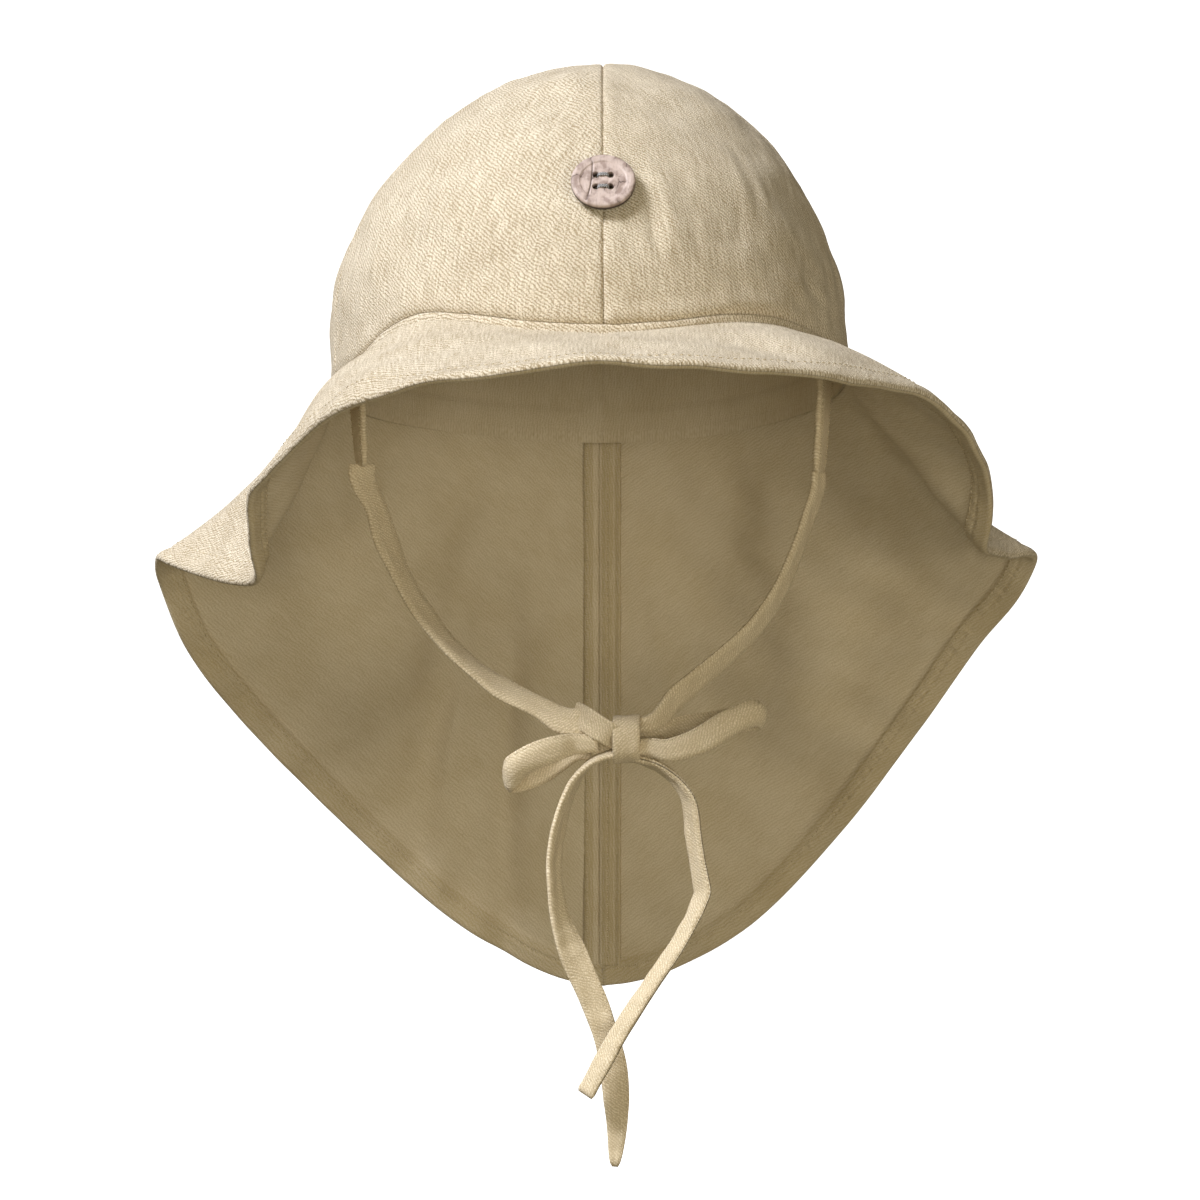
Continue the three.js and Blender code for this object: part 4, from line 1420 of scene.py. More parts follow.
@dataclass
class EarTab:
    """A folded, edge stitched tab that hangs inside the crown seam in front of the ear."""

    form: HatForm
    side: Side
    drop: float
    finish: Material
    thread: Material
    angle: float = 70.0
    top_width: float = 0.016
    end_width: float = 0.009
    tuck: float = 0.005
    wall: float = 0.0024
    lean: float = 4.0
    clearance: float = 0.0005
    corner: float = 0.0022
    stitch_dent: float = 0.0003

    def placing(self) -> Matrix:
        """Gives the tab's place: X along the seam, Y up from its level and Z towards the head.

        Returns:
            The matrix from the tab to the hat.
        """
        angle = np.array(self.side.value * self.angle)
        outward = Vector(self.form.seam_frame(angle)[0].tolist())
        inward = -outward
        upward = Vector((0, 0, 1))
        across = upward.cross(inward)
        half = min(float(self.form.half_width(angle)), self.form.crown_length / 2)
        sag = self.top_width**2 / 8 / half
        tipped = self.tuck * math.sin(math.radians(self.lean))
        seat = Vector(self.form.crown(angle, np.array(1.0)).tolist())
        # The source insets the crown's ellipse by its wall here
        turn = math.radians(float(angle))
        seat.x -= self.form.cloth_wall * math.sin(turn)
        seat.y += self.form.cloth_wall * math.cos(turn)
        seat += inward * (self.clearance + sag + tipped)
        basis = Matrix((across, upward, inward)).transposed().to_4x4()
        return Matrix.Translation(seat) @ basis @ Matrix.Rotation(math.radians(-self.lean), 4, "X")

    def starts(self, gap: float, lead: float) -> list[Point]:
        """Gives the first two points of the tie that hangs from the tab."""
        frame_of = self.placing()
        return [tuple(frame_of @ Vector((0, -self.drop - below, self.wall / 2))) for below in (gap, gap + lead)]

    def build(self) -> None:
        """Builds the tab as a padded looking folded strip with a stitched edge."""
        rows, columns = 44, 26
        down = np.linspace(0, 1, rows)
        height = self.tuck - (self.tuck + self.drop) * down
        half = (self.top_width + (self.end_width - self.top_width) * np.minimum(down * 1.02, 1)) / 2
        to_end = height + self.drop
        corner = self.corner
        inset = np.clip(corner - to_end, 0, corner)
        half = half - (corner - np.sqrt(np.maximum(corner**2 - inset**2, 0)))
        turn = np.linspace(0, np.pi, columns)
        spread = -np.cos(turn)
        x = spread[None, :] * half[:, None]
        edge = (1 - np.abs(spread) ** 7) ** 0.5
        thick = self.wall / 2 * edge[None, :] * np.minimum(1, 0.25 + to_end / 0.0012)[:, None]
        side_gap = half[:, None] - np.abs(x)
        groove = self.stitch_dent * (bell(side_gap, 0.0016, 0.0004) + bell(to_end[:, None], 0.0018, 0.0004))
        puff = 0.00015 * Ripples(41 + self.side.value, 0.007).at(x, height[:, None])
        y = np.broadcast_to(height[:, None], x.shape)
        front = np.stack([x, y, self.wall / 2 + np.maximum(thick - groove + puff * edge, 0.00005)], -1)
        back = np.stack([x, y, self.wall / 2 - np.maximum(thick - groove, 0.00005)], -1)
        frame_of = np.array(self.placing())
        grids = [grid @ frame_of[:3, :3].T + frame_of[:3, 3] for grid in (front, back)]
        cloth = np.stack([x / MM, y / MM, np.zeros_like(x)], -1)
        name = "ear_tab_" + self.side.name.lower()
        maker = MeshMaker(name + "_cloth")
        maker.add(np.stack(grids), wall_faces(rows, columns), np.stack([cloth, cloth]))
        settle(maker.build(self.finish), "tie_cloth", name)
        stitches = MeshMaker(name + "_stitching")
        inward = frame_of[:3, 2]
        for grid, way in ((grids[0], inward), (grids[1], -inward)):
            for column in (5, columns - 6):
                line = grid[3:-3, column]
                StitchRun().sew(stitches, line, np.tile(way, (len(line), 1)))
        settle(stitches.build(self.thread), "sewing_thread")


@dataclass
class Strap:
    """A flat folded and edge stitched strap along a route, turned as its broad side's directions say."""

    name: str
    route: tuple[Point, ...]
    broad: tuple[tuple[float, Point], ...]
    finish: Material
    thread: Material
    width: float = 0.0078
    wall: float = 0.002
    ends: tuple[StrapEnd, StrapEnd] = (StrapEnd.HIDDEN, StrapEnd.HIDDEN)
    hollow: float = 0.0
    stitch_at: float = 0.78
    gathered: tuple[float, float] = (0.0, 0.0)
    stitch_dent: float = 0.00028
    ridge_rise: float = 0.00015
    puff_height: float = 0.00014
    step: float = 0.001
    seed: int = 51

    def build(self) -> Piece:
        """Builds the strap and its stitching.

        Returns:
            The strap's object; its route is kept in the field line.
        """
        line = smooth_route(np.array(self.route, float), self.step)
        self.line = line
        run = arc_lengths(line, 0)
        share = run / run[-1]
        ahead = unit(np.gradient(line, axis=0))
        keys = [key for key, _ in self.broad]
        wished = np.stack([np.interp(share, keys, [way[k] for _, way in self.broad]) for k in range(3)], -1)
        side = unit(wished - (wished * ahead).sum(1)[:, None] * ahead)
        up = np.cross(ahead, side)
        count = 17
        x = -np.cos(np.linspace(0, np.pi, count))
        edge = np.sqrt(1 - np.abs(x) ** 5)
        stitch = bell(x, self.stitch_at, 0.09)
        ridge = bell(x, -0.55, 0.35)
        slack = Ripples(self.seed, 0.018)
        wide = self.width / 2 * (1 + 0.05 * slack.at(run, np.zeros_like(run)))
        full = np.ones_like(run)
        from_ends = (run, run[-1] - run)
        for end, away in zip(self.ends, from_ends):
            if end is StrapEnd.POINTED:
                full = np.minimum(full, 0.22 + 0.78 * np.clip(away / 0.019, 0, 1) ** 0.6)
            if end is StrapEnd.SQUARE:
                full = np.minimum(full, np.clip(0.86 + 0.14 * np.sqrt(np.clip(away / 0.0015, 0, 1)), 0, 1))
        for pinch, away in zip(self.gathered, from_ends):
            full = full * (1 - pinch * bell(away, 0, 0.011))
        wide = wide * full
        flat = x[None, :] * wide[:, None]
        puff = self.puff_height * Ripples(self.seed + 1, 0.006).at(run[:, None], flat)
        top = self.wall / 2 * edge - self.stitch_dent * stitch + self.ridge_rise * ridge
        low = -(self.wall / 2 * edge - self.stitch_dent * stitch)
        bend = 1 + 3 * bell(share, 0.5, 0.14) * (self.gathered[1] > 0)
        cup = self.hollow * bend[:, None] * (x**2 - 0.4)
        upper = top[None, :] + cup + puff * edge
        lower = low[None, :] + cup
        end_soft = np.ones_like(run)
        for end, away in zip(self.ends, from_ends):
            if end is not StrapEnd.HIDDEN:
                end_soft = np.minimum(end_soft, 0.3 + 0.7 * np.sqrt(np.clip(away / 0.0012, 0, 1)))
        upper, lower = upper * end_soft[:, None], lower * end_soft[:, None]
        faces_of = []
        for lift in (upper, lower):
            faces_of.append(line[:, None] + side[:, None] * flat[..., None] + up[:, None] * lift[..., None])
        cloth = np.stack([flat / MM, np.broadcast_to(run[:, None] / MM, flat.shape), np.zeros_like(flat)], -1)
        maker = MeshMaker(self.name + "_strap")
        maker.add(np.stack(faces_of), wall_faces(len(run), count)[:, ::-1], np.stack([cloth, cloth]))
        piece = settle(maker.build(self.finish), "tie_cloth", self.name)
        stitches = MeshMaker(self.name + "_stitching")
        column = int(np.abs(x - self.stitch_at).argmin())
        for grid, way in ((faces_of[0], up), (faces_of[1], -up)):
            StitchRun(pitch=0.0024, radius=0.00013, rise=0.00002).sew(stitches, grid[2:-2, column], way[2:-2])
        settle(stitches.build(self.thread), "sewing_thread")
        return piece


TIE_RIGHT_ROUTE = (
    (-0.067, -0.028, -0.131),
    (-0.063, -0.03, -0.143),
    (-0.0573, -0.032, -0.1549),
    (-0.0505, -0.034, -0.1654),
    (-0.0416, -0.037, -0.1753),
    (-0.0299, -0.04, -0.1842),
    (-0.0185, -0.0435, -0.19),
    (-0.0105, -0.0468, -0.194),
    (-0.0035, -0.0468, -0.194),
)
TIE_LEFT_ROUTE = (
    (0.0606, -0.028, -0.134),
    (0.0562, -0.03, -0.146),
    (0.0512, -0.032, -0.157),
    (0.0449, -0.034, -0.1662),
    (0.0366, -0.037, -0.1744),
    (0.0274, -0.04, -0.182),
    (0.0205, -0.0432, -0.1878),
    (0.0148, -0.0468, -0.194),
    (0.0085, -0.0468, -0.1955),
)
LOOP_RIGHT_ROUTE = (
    (-0.0015, -0.0498, -0.2),
    (-0.0058, -0.0498, -0.2003),
    (-0.0082, -0.0498, -0.2003),
    (-0.013, -0.0525, -0.2014),
    (-0.02, -0.0535, -0.2038),
    (-0.0258, -0.052, -0.2075),
    (-0.0272, -0.0485, -0.21),
    (-0.0245, -0.045, -0.2105),
    (-0.0185, -0.0436, -0.2086),
    (-0.012, -0.0432, -0.205),
    (-0.0082, -0.0436, -0.203),
    (-0.0035, -0.0436, -0.2025),
)
LOOP_LEFT_ROUTE = (
    (0.008, -0.0498, -0.2012),
    (0.0108, -0.0498, -0.2012),
    (0.0134, -0.0498, -0.2012),
    (0.0185, -0.0525, -0.202),
    (0.027, -0.0535, -0.1995),
    (0.0365, -0.053, -0.194),
    (0.0435, -0.051, -0.1913),
    (0.0456, -0.0478, -0.1918),
    (0.0422, -0.0448, -0.1928),
    (0.034, -0.043, -0.1946),
    (0.025, -0.042, -0.196),
    (0.018, -0.0423, -0.1974),
    (0.0134, -0.0428, -0.1982),
    (0.008, -0.0428, -0.1982),
)
TAIL_RIGHT_ROUTE = (
    (0.0035, -0.0468, -0.2024),
    (-0.001, -0.0474, -0.2042),
    (-0.0052, -0.0482, -0.2074),
    (-0.0086, -0.049, -0.212),
    (-0.0112, -0.05, -0.2182),
    (-0.0132, -0.0505, -0.2262),
    (-0.0142, -0.0505, -0.234),
    (-0.0136, -0.0505, -0.243),
    (-0.0122, -0.0505, -0.251),
    (-0.008, -0.0505, -0.262),
    (-0.0017, -0.0505, -0.2765),
    (0.0026, -0.0505, -0.291),
    (0.004, -0.0505, -0.308),
    (0.0034, -0.0505, -0.3215),
)
TAIL_LEFT_ROUTE = (
    (0.0065, -0.0468, -0.2042),
    (0.0108, -0.047, -0.205),
    (0.0158, -0.0474, -0.2068),
    (0.0212, -0.0484, -0.211),
    (0.0247, -0.05, -0.2165),
    (0.0259, -0.052, -0.226),
    (0.0272, -0.0533, -0.2345),
    (0.0283, -0.0538, -0.2405),
    (0.0285, -0.054, -0.2427),
    (0.0277, -0.0543, -0.2449),
    (0.0257, -0.055, -0.2497),
    (0.0208, -0.0556, -0.2583),
    (0.0143, -0.056, -0.2677),
    (0.0052, -0.0565, -0.2815),
    (-0.0052, -0.0566, -0.3),
)
KNOT_SLANT_ROUTE = (
    (-0.0082, -0.0448, -0.1918),
    (-0.0052, -0.0488, -0.1932),
    (-0.0018, -0.0512, -0.1954),
    (0.0018, -0.0514, -0.1974),
    (0.0048, -0.0495, -0.1989),
    (0.007, -0.0472, -0.2),
)
KNOT_CORE_ROUTE = (
    (-0.003, -0.0466, -0.2),
    (-0.0005, -0.0468, -0.1997),
    (0.004, -0.047, -0.1992),
    (0.0092, -0.0465, -0.1985),
)

# Directions across each strap's broad side: share of its length, and the direction there
UPRIGHT = (0.0, 0.0, 1.0)
TIE_RIGHT_TURN = (
    (0, (1.0, 0.3, 0.2)),
    (0.1, (0.85, 0.6, 0.25)),
    (0.35, (0.71, 0.75, 0.29)),
    (0.6, (0.5, 0.85, 0.3)),
    (0.8, (0.4, 0.6, 0.7)),
    (1, (0.1, 0.25, 1.0)),
)
TIE_LEFT_TURN = (
    (0, (0.6, 1.0, 0)),
    (0.2, (0.5, 0.9, 0)),
    (0.5, (0.6, 0.8, -0.3)),
    (0.8, (0.55, 0.6, -0.6)),
    (1, (0.1, 0.2, -1.0)),
)
LOOP_RIGHT_TURN = (
    (0, UPRIGHT),
    (0.3, (-0.25, -0.1, 1.0)),
    (0.5, (-0.1, -0.35, 1.0)),
    (0.7, (0.0, -0.3, 1.0)),
    (1, UPRIGHT),
)
LOOP_LEFT_TURN = ((0, UPRIGHT), (0.45, (-0.25, 0.0, 1.0)), (0.6, (-0.1, 0.1, 1.0)), (1, UPRIGHT))
TAIL_RIGHT_TURN = (
    (0, (0.1, 0.95, 0.3)),
    (0.12, (0.4, 0.9, 0.1)),
    (0.36, (0.5, 0.85, 0)),
    (0.56, (0.95, 0.1, 0)),
    (1, (1.0, -0.25, 0)),
)
TAIL_LEFT_TURN = (
    (0, (0, -1.0, 0.1)),
    (0.1, (0.2, -0.95, 0.2)),
    (0.26, (0.66, -0.72, 0.2)),
    (0.6, (0.7, -0.7, 0.1)),
    (1, (0.85, -0.5, 0)),
)


@dataclass
class BowKnot:
    """The knot of the bow: an upright wrap, and one tie that folds over slantwise into it."""

    finish: Material
    wrap_centre: Point = (0.0068, -0.0468, -0.199)
    wrap_height: float = 0.0064
    wrap_depth: float = 0.0056
    wrap_width: float = 0.0079
    wall: float = 0.002

    def band(self, maker: MeshMaker, line: Array, side: Array, width: float, closed: bool) -> None:
        """Adds one flat band of the knot.

        Args:
            maker: The mesh that takes it.
            line: Points of its middle line.
            side: Direction across it at each point.
            width: Its width.
            closed: Whether its ends meet.
        """
        if closed:
            ahead = unit(np.roll(line, -1, axis=0) - np.roll(line, 1, axis=0))
        else:
            ahead = unit(np.gradient(line, axis=0))
        side = unit(side - (side * ahead).sum(1)[:, None] * ahead)
        up = np.cross(ahead, side)
        turn = np.linspace(0, 2 * np.pi, 28, endpoint=False)
        x = -np.cos(turn)
        y = np.sign(np.sin(turn)) * np.sqrt(np.maximum(1 - np.abs(x) ** 4, 0))
        swell = 0.0006 * (1 - x**2)
        run = arc_lengths(line, 0)
        puff = 0.00012 * Ripples(71, 0.005).at(run[:, None], x[None, :] * width)
        rings = (
            line[:, None]
            + side[:, None] * (x * width / 2)[None, :, None]
            + up[:, None] * ((y * self.wall / 2)[None, :] + swell + puff)[..., None]
        )
        faces = tube_faces(len(line), len(turn))
        if closed:
            last = (len(line) - 1) * len(turn)
            k = np.arange(len(turn))
            following = (k + 1) % len(turn)
            faces = np.vstack([faces, np.stack([last + k, last + following, following, k], -1)])
        flat = np.broadcast_to(x * width / 2, rings.shape[:2]) / MM
        cloth = np.stack([flat, np.broadcast_to(run[:, None] / MM, flat.shape), np.zeros_like(flat)], -1)
        maker.add(rings, faces, cloth)

    def build(self) -> Piece:
        """Builds the knot from its bands.

        Returns:
            The knot's object.
        """
        maker = MeshMaker("bow_knot_cloth")
        turn = np.linspace(0, 2 * np.pi, 72, endpoint=False)
        x, y, z = self.wrap_centre
        lobe = np.sign(np.sin(turn)) * np.abs(np.sin(turn)) ** 0.8
        wrap = np.stack(
            [x + 0.0002 * np.cos(turn), y + self.wrap_depth * np.cos(turn), z + self.wrap_height * lobe], -1
        )
        self.band(maker, wrap[::-1], np.tile([1.0, 0, 0.04], (len(turn), 1)), self.wrap_width, True)
        slant = smooth_route(
            np.array(KNOT_SLANT_ROUTE),
            0.0006,
        )
        across = np.linspace(0, 1, len(slant))[:, None]
        way = (1 - across) * np.array([0.35, -0.1, 0.92]) + across * np.array([0.7, -0.2, 0.68])
        self.band(maker, slant[::-1], way[::-1], 0.0072, False)
        core = smooth_route(
            np.array(KNOT_CORE_ROUTE),
            0.0008,
        )
        self.band(maker, core[::-1], np.tile([0.0, 0.15, 1.0], (len(core), 1)), 0.0096, False)
        return settle(maker.build(self.finish), "tie_cloth", "bow_knot")


@dataclass
class ChinTies:
    """The two chin ties from their tabs to the bow, with its loops and hanging tails."""

    form: HatForm
    wardrobe: Wardrobe
    width: float = 0.008

    def strap(self, name: str, route: tuple[Point, ...], turn: tuple, **sizes: object) -> Strap:
        """Makes one strap of the ties' own cloth and thread, not yet built."""
        return Strap(name, route, turn, self.wardrobe.tie_twill, self.wardrobe.seam_thread, **sizes)

    def from_tab(self, tab: EarTab, route: tuple[Point, ...]) -> tuple[Point, ...]:
        """Leads a route out of its tab's lower end."""
        return (*tab.starts(-0.001, 0.005), *route)

    def build(self) -> None:
        """Builds tabs, ties, knot, loops and tails."""
        cloth, thread = self.wardrobe.tie_twill, self.wardrobe.seam_thread
        tabs = {
            Side.RIGHT: EarTab(self.form, Side.RIGHT, 0.028, cloth, thread),
            Side.LEFT: EarTab(self.form, Side.LEFT, 0.036, cloth, thread),
        }
        for tab in tabs.values():
            tab.build()
        knot = BowKnot(cloth).build()
        straps = (
            self.strap("tie_right", self.from_tab(tabs[Side.RIGHT], TIE_RIGHT_ROUTE), TIE_RIGHT_TURN, seed=101),
            self.strap(
                "tie_left",
                self.from_tab(tabs[Side.LEFT], TIE_LEFT_ROUTE),
                TIE_LEFT_TURN,
                gathered=(0.0, 0.4),
                seed=111,
            ),
            self.strap(
                "bow_loop_right", LOOP_RIGHT_ROUTE, LOOP_RIGHT_TURN, hollow=0.0004, gathered=(0.3, 0.3), seed=121
            ),
            self.strap(
                "bow_loop_left", LOOP_LEFT_ROUTE, LOOP_LEFT_TURN, hollow=-0.0004, gathered=(0.42, 0.35), seed=131
            ),
            self.strap(
                "tie_tail_right",
                TAIL_RIGHT_ROUTE,
                TAIL_RIGHT_TURN,
                ends=(StrapEnd.HIDDEN, StrapEnd.POINTED),
                hollow=0.0004,
                seed=141,
            ),
            self.strap(
                "tie_tail_left",
                TAIL_LEFT_ROUTE,
                TAIL_LEFT_TURN,
                ends=(StrapEnd.HIDDEN, StrapEnd.SQUARE),
                width=0.006,
                wall=0.0025,
                hollow=0.0002,
                seed=151,
            ),
        )
        for strap in straps:
            piece = strap.build()


@dataclass
class ShellButton:
    """The four-hole button on the brow seam, with its engraved line and grey thread."""

    form: HatForm
    finish: Material
    thread: Material
    diameter: float = 0.018
    thickness: float = 0.0022
    drop: float = 0.0454
    dish: float = 0.00032
    hole: float = 0.0019
    pitch: float = 0.004
    shank: float = 0.0012
    thread_shift: float = 0.00025
    thread_radius: float = 0.00026
    # Near-black finish for the hole walls: painted shade inside the holes.
    painted_hole_shade: Material | None = None

    def placing(self) -> Matrix:
        """Gives the button's place: Z out of the crown and the back of the disc at height 0.

        Returns:
            The matrix from the disc to the hat.
        """
        centre, height, deep = self.form.crown_centre, self.form.crown_height, self.form.crown_length / 2
        climb = (self.form.cloth_wall - self.drop - centre) / height
        turn = math.acos(climb)
        seat = Vector((0, -deep * math.sin(turn), self.form.cloth_wall - self.drop))
        outward = Vector((0, seat.y / deep**2, (seat.z - centre) / height**2)).normalized()
        turned = Vector((0, 0, 1)).rotation_difference(outward).to_matrix().to_4x4()
        return Matrix.Translation(seat + outward * self.shank) @ turned

    def disc(self) -> Piece:
        """Builds the dished disc with its worn rim, engraved line and drilled holes.

        Returns:
            The disc's object, in its place.
        """
        radius, floor, top = self.diameter / 2, self.thickness - self.dish, self.thickness
        face = [(r * MM, floor) for r in np.linspace(0.02, 6.2, 64)]
        rim = [(0.0065, floor + 0.00008), (0.0067, floor + 0.0003), (0.00695, top - 0.00008), (0.0073, top)]
        rim += [(0.0079, top), (0.0084, top - 0.00006), (0.0087, top - 0.0002)]
        rim += [(0.00895, top - 0.0005), (0.009, top - 0.0009)]
        rim += [(0.009, 0.0008), (0.0089, 0.0004), (0.0086, 0.0001), (0.008, 0.0), (0.005, 0.0), (0.00002, 0.0)]
        profile = np.array(face + rim)
        turn = np.linspace(0, 2 * np.pi, 224, endpoint=False)
        uneven = 1 + 0.006 * np.sin(2 * turn + 0.6) + 0.004 * np.sin(5 * turn)
        r, z = np.meshgrid(profile[:, 0], turn, indexing="ij")[0], np.repeat(profile[:, 1:], len(turn), 1)
        x, y = r * np.cos(turn) * uneven, r * np.sin(turn) * uneven
        curve, groove = self.engraving(x, y, z)
        ridge = np.exp(-(((x - curve - 0.0005) / 0.0003) ** 2)) * (z > floor - 0.0001)
        z = z - 0.0003 * groove + 0.00006 * ridge
        z = z + 0.00005 * Ripples(81, 0.003).at(x, y) * (z > floor - 0.0003)
        points = np.stack([x, y, z], -1)
        maker = MeshMaker("shell_button")
        faces = tube_faces(len(profile), len(turn))[:, ::-1]
        centres = np.array([[0, 0, floor], [0, 0, 0.0]])
        maker.add(points, faces)
        count = len(turn)
        last = (len(profile) - 1) * count
        fans = []
        for centre, start, flip in ((0, 0, False), (1, last, True)):
            for k in range(0, count, 2):
                a, b, c = start + k, start + (k + 1) % count, start + (k + 2) % count
                quad = [len(points.reshape(-1, 3)) + centre, a, b, c]
                fans.append(quad[::-1] if flip else quad)
        maker.points.append(centres)
        maker.cloth.append(np.zeros((2, 3)))
        maker.trim.append(np.zeros((2, 3)))
        maker.faces.append(np.array(fans))
        piece = maker.build(self.finish)
        for k, (sx, sy) in enumerate(((-1, -1), (-1, 1), (1, -1), (1, 1))):
            self.drill(piece, k, sx * self.pitch / 2, sy * self.pitch / 2)
        self.mark(piece)
        piece.data.transform(self.placing())
        return piece

    def engraving(self, x: Array, y: Array, z: Array) -> tuple[Array, Array]:
        """Finds the curved line cut into the face.

        Args:
            x: Places across the disc.
            y: Places up the disc.
            z: Heights above its back.

        Returns:
            The line's place across at each height, and how deep each point lies in the cut.
        """
        curve = -0.0042 + 0.0009 * np.cos(y / 0.0075 * 1.3) + 0.12 * y
        face = (np.abs(y) < 0.0066) & (z > self.thickness - self.dish - 0.0005)
        return curve, np.exp(-(((x - curve) / 0.00018) ** 2)) * face

    def mark(self, piece: Piece) -> None:
        """Writes the disc's own coordinates, its dark back and its engraving into the mesh.

        Args:
            piece: The drilled disc, not yet placed.
        """
        mesh = piece.data
        places = np.zeros(len(mesh.vertices) * 3)
        mesh.vertices.foreach_get("co", places)
        x, y, z = places.reshape(-1, 3).T
        under = np.clip((self.thickness - self.dish - 0.0002 - z) / 0.0006, 0, 1)
        zero = np.zeros_like(x)
        marks = {"cloth": (x / MM, y / MM, zero), "trim": (under, self.engraving(x, y, z)[1], zero)}
        for name, columns in marks.items():
            layer = mesh.attributes.get(name) or mesh.attributes.new(name, "FLOAT_VECTOR", "POINT")
            layer.data.foreach_set("vector", np.stack(columns, -1).astype(np.float32).ravel())

    def drill(self, piece: Piece, number: int, x: float, y: float) -> None:
        """Cuts one sewing hole with a softened mouth.

        Args:
            piece: The disc, not yet placed.
            number: The hole's number.
            x: The hole's place across.
            y: The hole's place up.
        """
        top = self.thickness - self.dish
        half = self.hole / 2
        profile = ((-0.001, 1), (top - 0.0003, 1), (top - 0.0001, 1.08), (top + 0.0001, 1.25), (0.004, 1.25))
        turn = np.linspace(0, 2 * np.pi, 24, endpoint=False)
        rings = np.array(
            [[(x + half * r * math.cos(t), y + half * r * math.sin(t), z) for t in turn] for z, r in profile]
        )
        faces = tube_faces(len(profile), len(turn)).tolist()
        faces += [list(range(len(turn)))[::-1], [(len(profile) - 1) * len(turn) + k for k in range(len(turn))]]
        mesh = bpy.data.meshes.new(f"drill_{number}")
        mesh.from_pydata(rings.reshape(-1, 3).tolist(), [], faces)
        # The cutter carries the near-black finish for the hole walls: painted shade inside the holes.
        mesh.materials.append(self.painted_hole_shade)
        tool = show(f"drill_{number}", mesh)
        cut = piece.modifiers.new("hole", "BOOLEAN")
        cut.operation, cut.object, cut.solver = "DIFFERENCE", tool, "EXACT"
        bpy.context.view_layer.objects.active = piece
        bpy.ops.object.modifier_apply(modifier=cut.name)
        bpy.data.objects.remove(tool)

    def sewing(self) -> Piece:
        """Builds the two doubled bars of thread through the holes and the shank behind.

        Returns:
            The thread's object, in its place.
        """
        maker = MeshMaker("button_sewing")
        top = self.thickness - self.dish
        row, half = self.pitch / 2, self.pitch / 2 - 0.0006
        turn = np.linspace(0, 2 * np.pi, 10, endpoint=False)
        rise = ((0.0001, -0.0008), (0.0, top - 0.0006), (0.0002, top + 0.00005), (0.0008, top + 0.0003))
        bar = [(-half + inset, z) for inset, z in rise] + [(half - inset, z) for inset, z in rise[::-1]]
        apart = self.thread_shift
        for y in (-row - apart, -row + apart, row - apart, row + apart):
            line = smooth_route(np.array([(x, y, z) for x, z in bar]), 0.00012)
            ahead = unit(np.gradient(line, axis=0))
            side = np.tile([0.0, 1.0, 0.0], (len(line), 1))
            up = unit(np.cross(ahead, side))
            ring = side[:, None] * np.cos(turn)[:, None] + up[:, None] * np.sin(turn)[:, None]
            maker.add(line[:, None] + ring * self.thread_radius, tube_faces(len(line), len(turn)))
        levels = np.linspace(-0.0011, 0.0, 6)
        shank = np.array([[(self.shank * math.cos(t), self.shank * math.sin(t), z) for t in turn] for z in levels])
        maker.add(shank, tube_faces(len(levels), len(turn)))
        piece = maker.build(self.thread)
        piece.data.transform(self.placing())
        return piece

    def build(self) -> None:
        """Builds the button and its thread."""
        settle(self.disc(), "button_shell", "button")
        settle(self.sewing(), "sewing_thread", "button_thread")


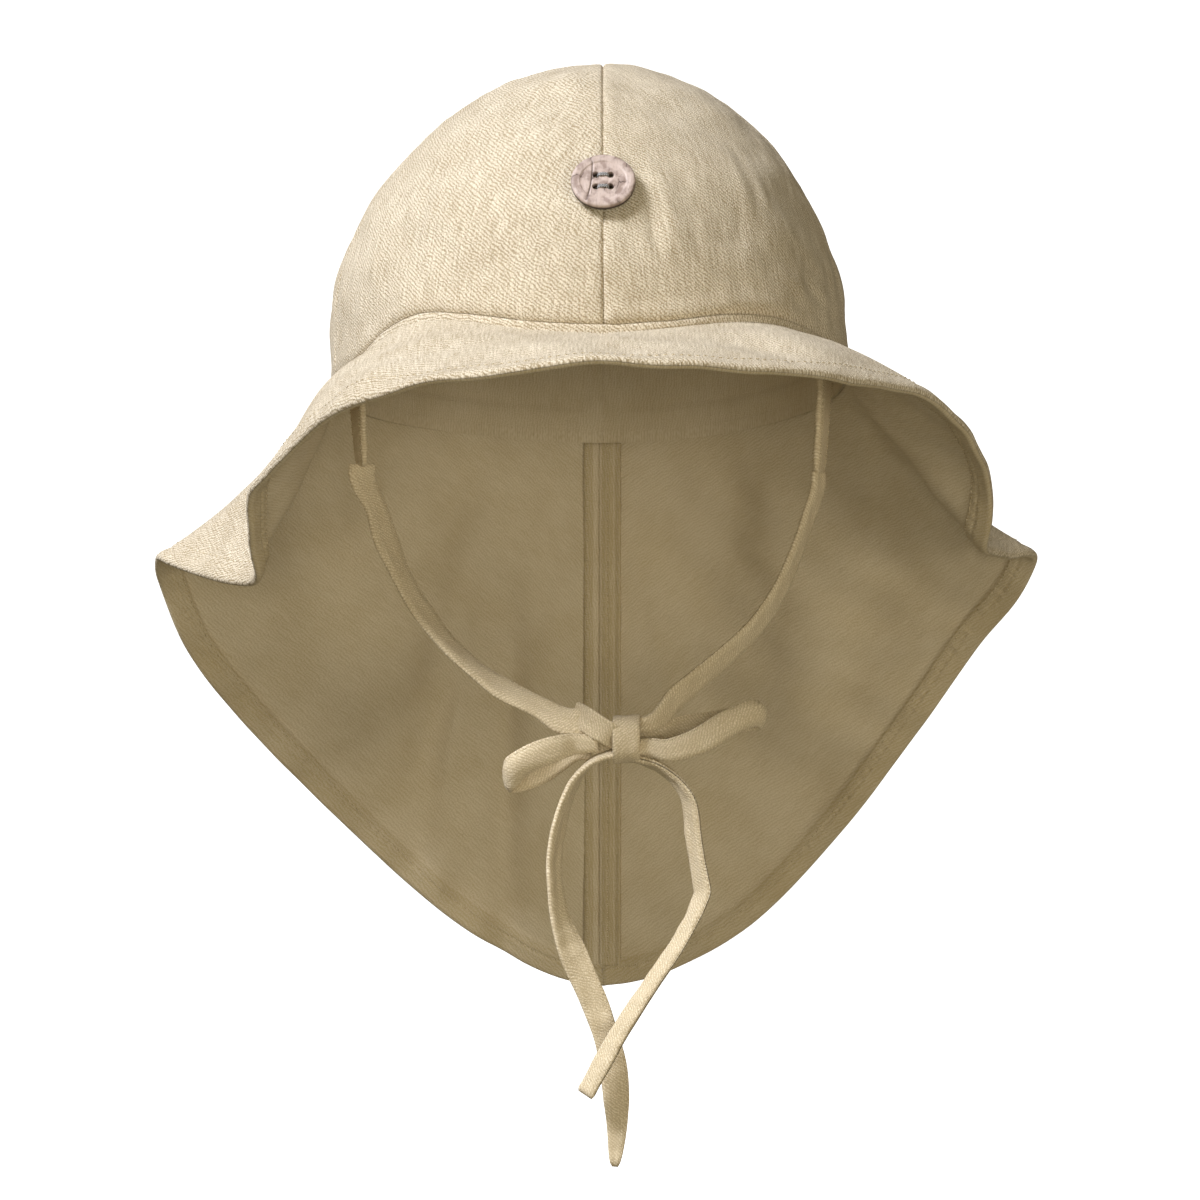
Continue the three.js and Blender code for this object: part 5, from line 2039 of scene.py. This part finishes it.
@dataclass
class Studio:
    """The camera, the soft lights and the plain pale floor that sweeps up into a backdrop."""

    paper: Material
    eye: Point = (-0.0009, -1.0, -0.159)
    lens: float = 99.34
    floor: float = -0.46
    lamps: tuple[tuple[str, Point, float, float, Point], ...] = (
        ("key_light", (-1.55, -1.05, 1.8), 0.8, 107.0, (0.95, 0.97, 1.03)),
        ("right_fill", (1.1, -1.6, -0.4), 0.8, 14.0, (1.0, 0.925, 0.74)),
        ("front_fill", (-0.1, -1.95, -0.42), 0.9, 15.0, (1.0, 0.925, 0.74)),
    )
    room_light: Colour = (1.0, 0.88, 0.62, 1.0)
    room_strength: float = 0.17

    def camera(self) -> None:
        """Makes the level camera in front of the hat."""
        data = bpy.data.cameras.new("front_camera")
        data.lens, data.sensor_width = self.lens, 36.0
        made = show("front_camera", data)
        made.location = self.eye
        made.rotation_euler = (math.pi / 2, 0, 0)
        bpy.context.scene.camera = made

    def lamp(self, name: str, place: Point, size: float, power: float, warmth: Point) -> None:
        """Adds one soft square light that faces the hat.

        Args:
            name: Its name.
            place: Where it stands.
            size: Side of its square, in metres.
            power: Its power in watts.
            warmth: Its colour.
        """
        data = bpy.data.lights.new(name, "AREA")
        data.size, data.energy, data.color = size, power, warmth
        made = show(name, data)
        made.location = place
        aim = Vector((0, 0, -0.14)) - Vector(place)
        made.rotation_euler = aim.to_track_quat("-Z", "Y").to_euler()
        made.visible_camera = False

    def build(self) -> None:
        """Makes the floor, its round backdrop, the lights and the surrounding light."""
        turn = np.linspace(0, np.pi / 2, 12)
        bend, reach, sides = 1.2, 4.0, 72
        curve = [(reach - bend + bend * math.sin(t), self.floor + bend - bend * math.cos(t)) for t in turn]
        profile = np.array([(0.0, self.floor), (1.5, self.floor), *curve, (reach, 3.6)])
        around = np.linspace(0, 2 * np.pi, sides + 1)
        points = np.array([[(r * math.cos(t), r * math.sin(t), z) for t in around] for r, z in profile])
        rows, columns = np.meshgrid(np.arange(len(profile) - 1) * len(around), np.arange(sides), indexing="ij")
        first = (rows + columns).reshape(-1, 1)
        maker = MeshMaker("paper_bowl")
        maker.add(points, first + np.array([[0, sides + 1, sides + 2, 1]]))
        bowl = maker.build(self.paper)
        bowl.visible_diffuse = False
        bowl.visible_glossy = False
        for lamp in self.lamps:
            self.lamp(*lamp)
        world = bpy.data.worlds.new("soft_room")
        world.use_nodes = True
        background = world.node_tree.nodes["Background"]
        background.inputs["Color"].default_value = self.room_light
        background.inputs["Strength"].default_value = self.room_strength
        bpy.context.scene.world = world
        bpy.context.scene.view_settings.view_transform = "Standard"


def main() -> None:
    """Builds the scene in order."""
    logging.basicConfig(level=logging.INFO, format="%(name)s: %(message)s")
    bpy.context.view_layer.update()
    form = HatForm()
    wardrobe = Wardrobe()
    studio = Studio(wardrobe.paper)
    studio.camera()
    ChinTies(form, wardrobe).build()
    Crown(form, wardrobe.twill).build()
    BrimAndFlap(form, wardrobe.twill, wardrobe.seam_thread).build()
    BackSeam(form, wardrobe.twill, wardrobe.seam_thread).build()
    ShellButton(form, wardrobe.shell, wardrobe.button_thread, painted_hole_shade=wardrobe.painted_hole_shade).build()
    studio.build()
    bpy.context.view_layer.update()


if __name__ == "__main__":
    main()
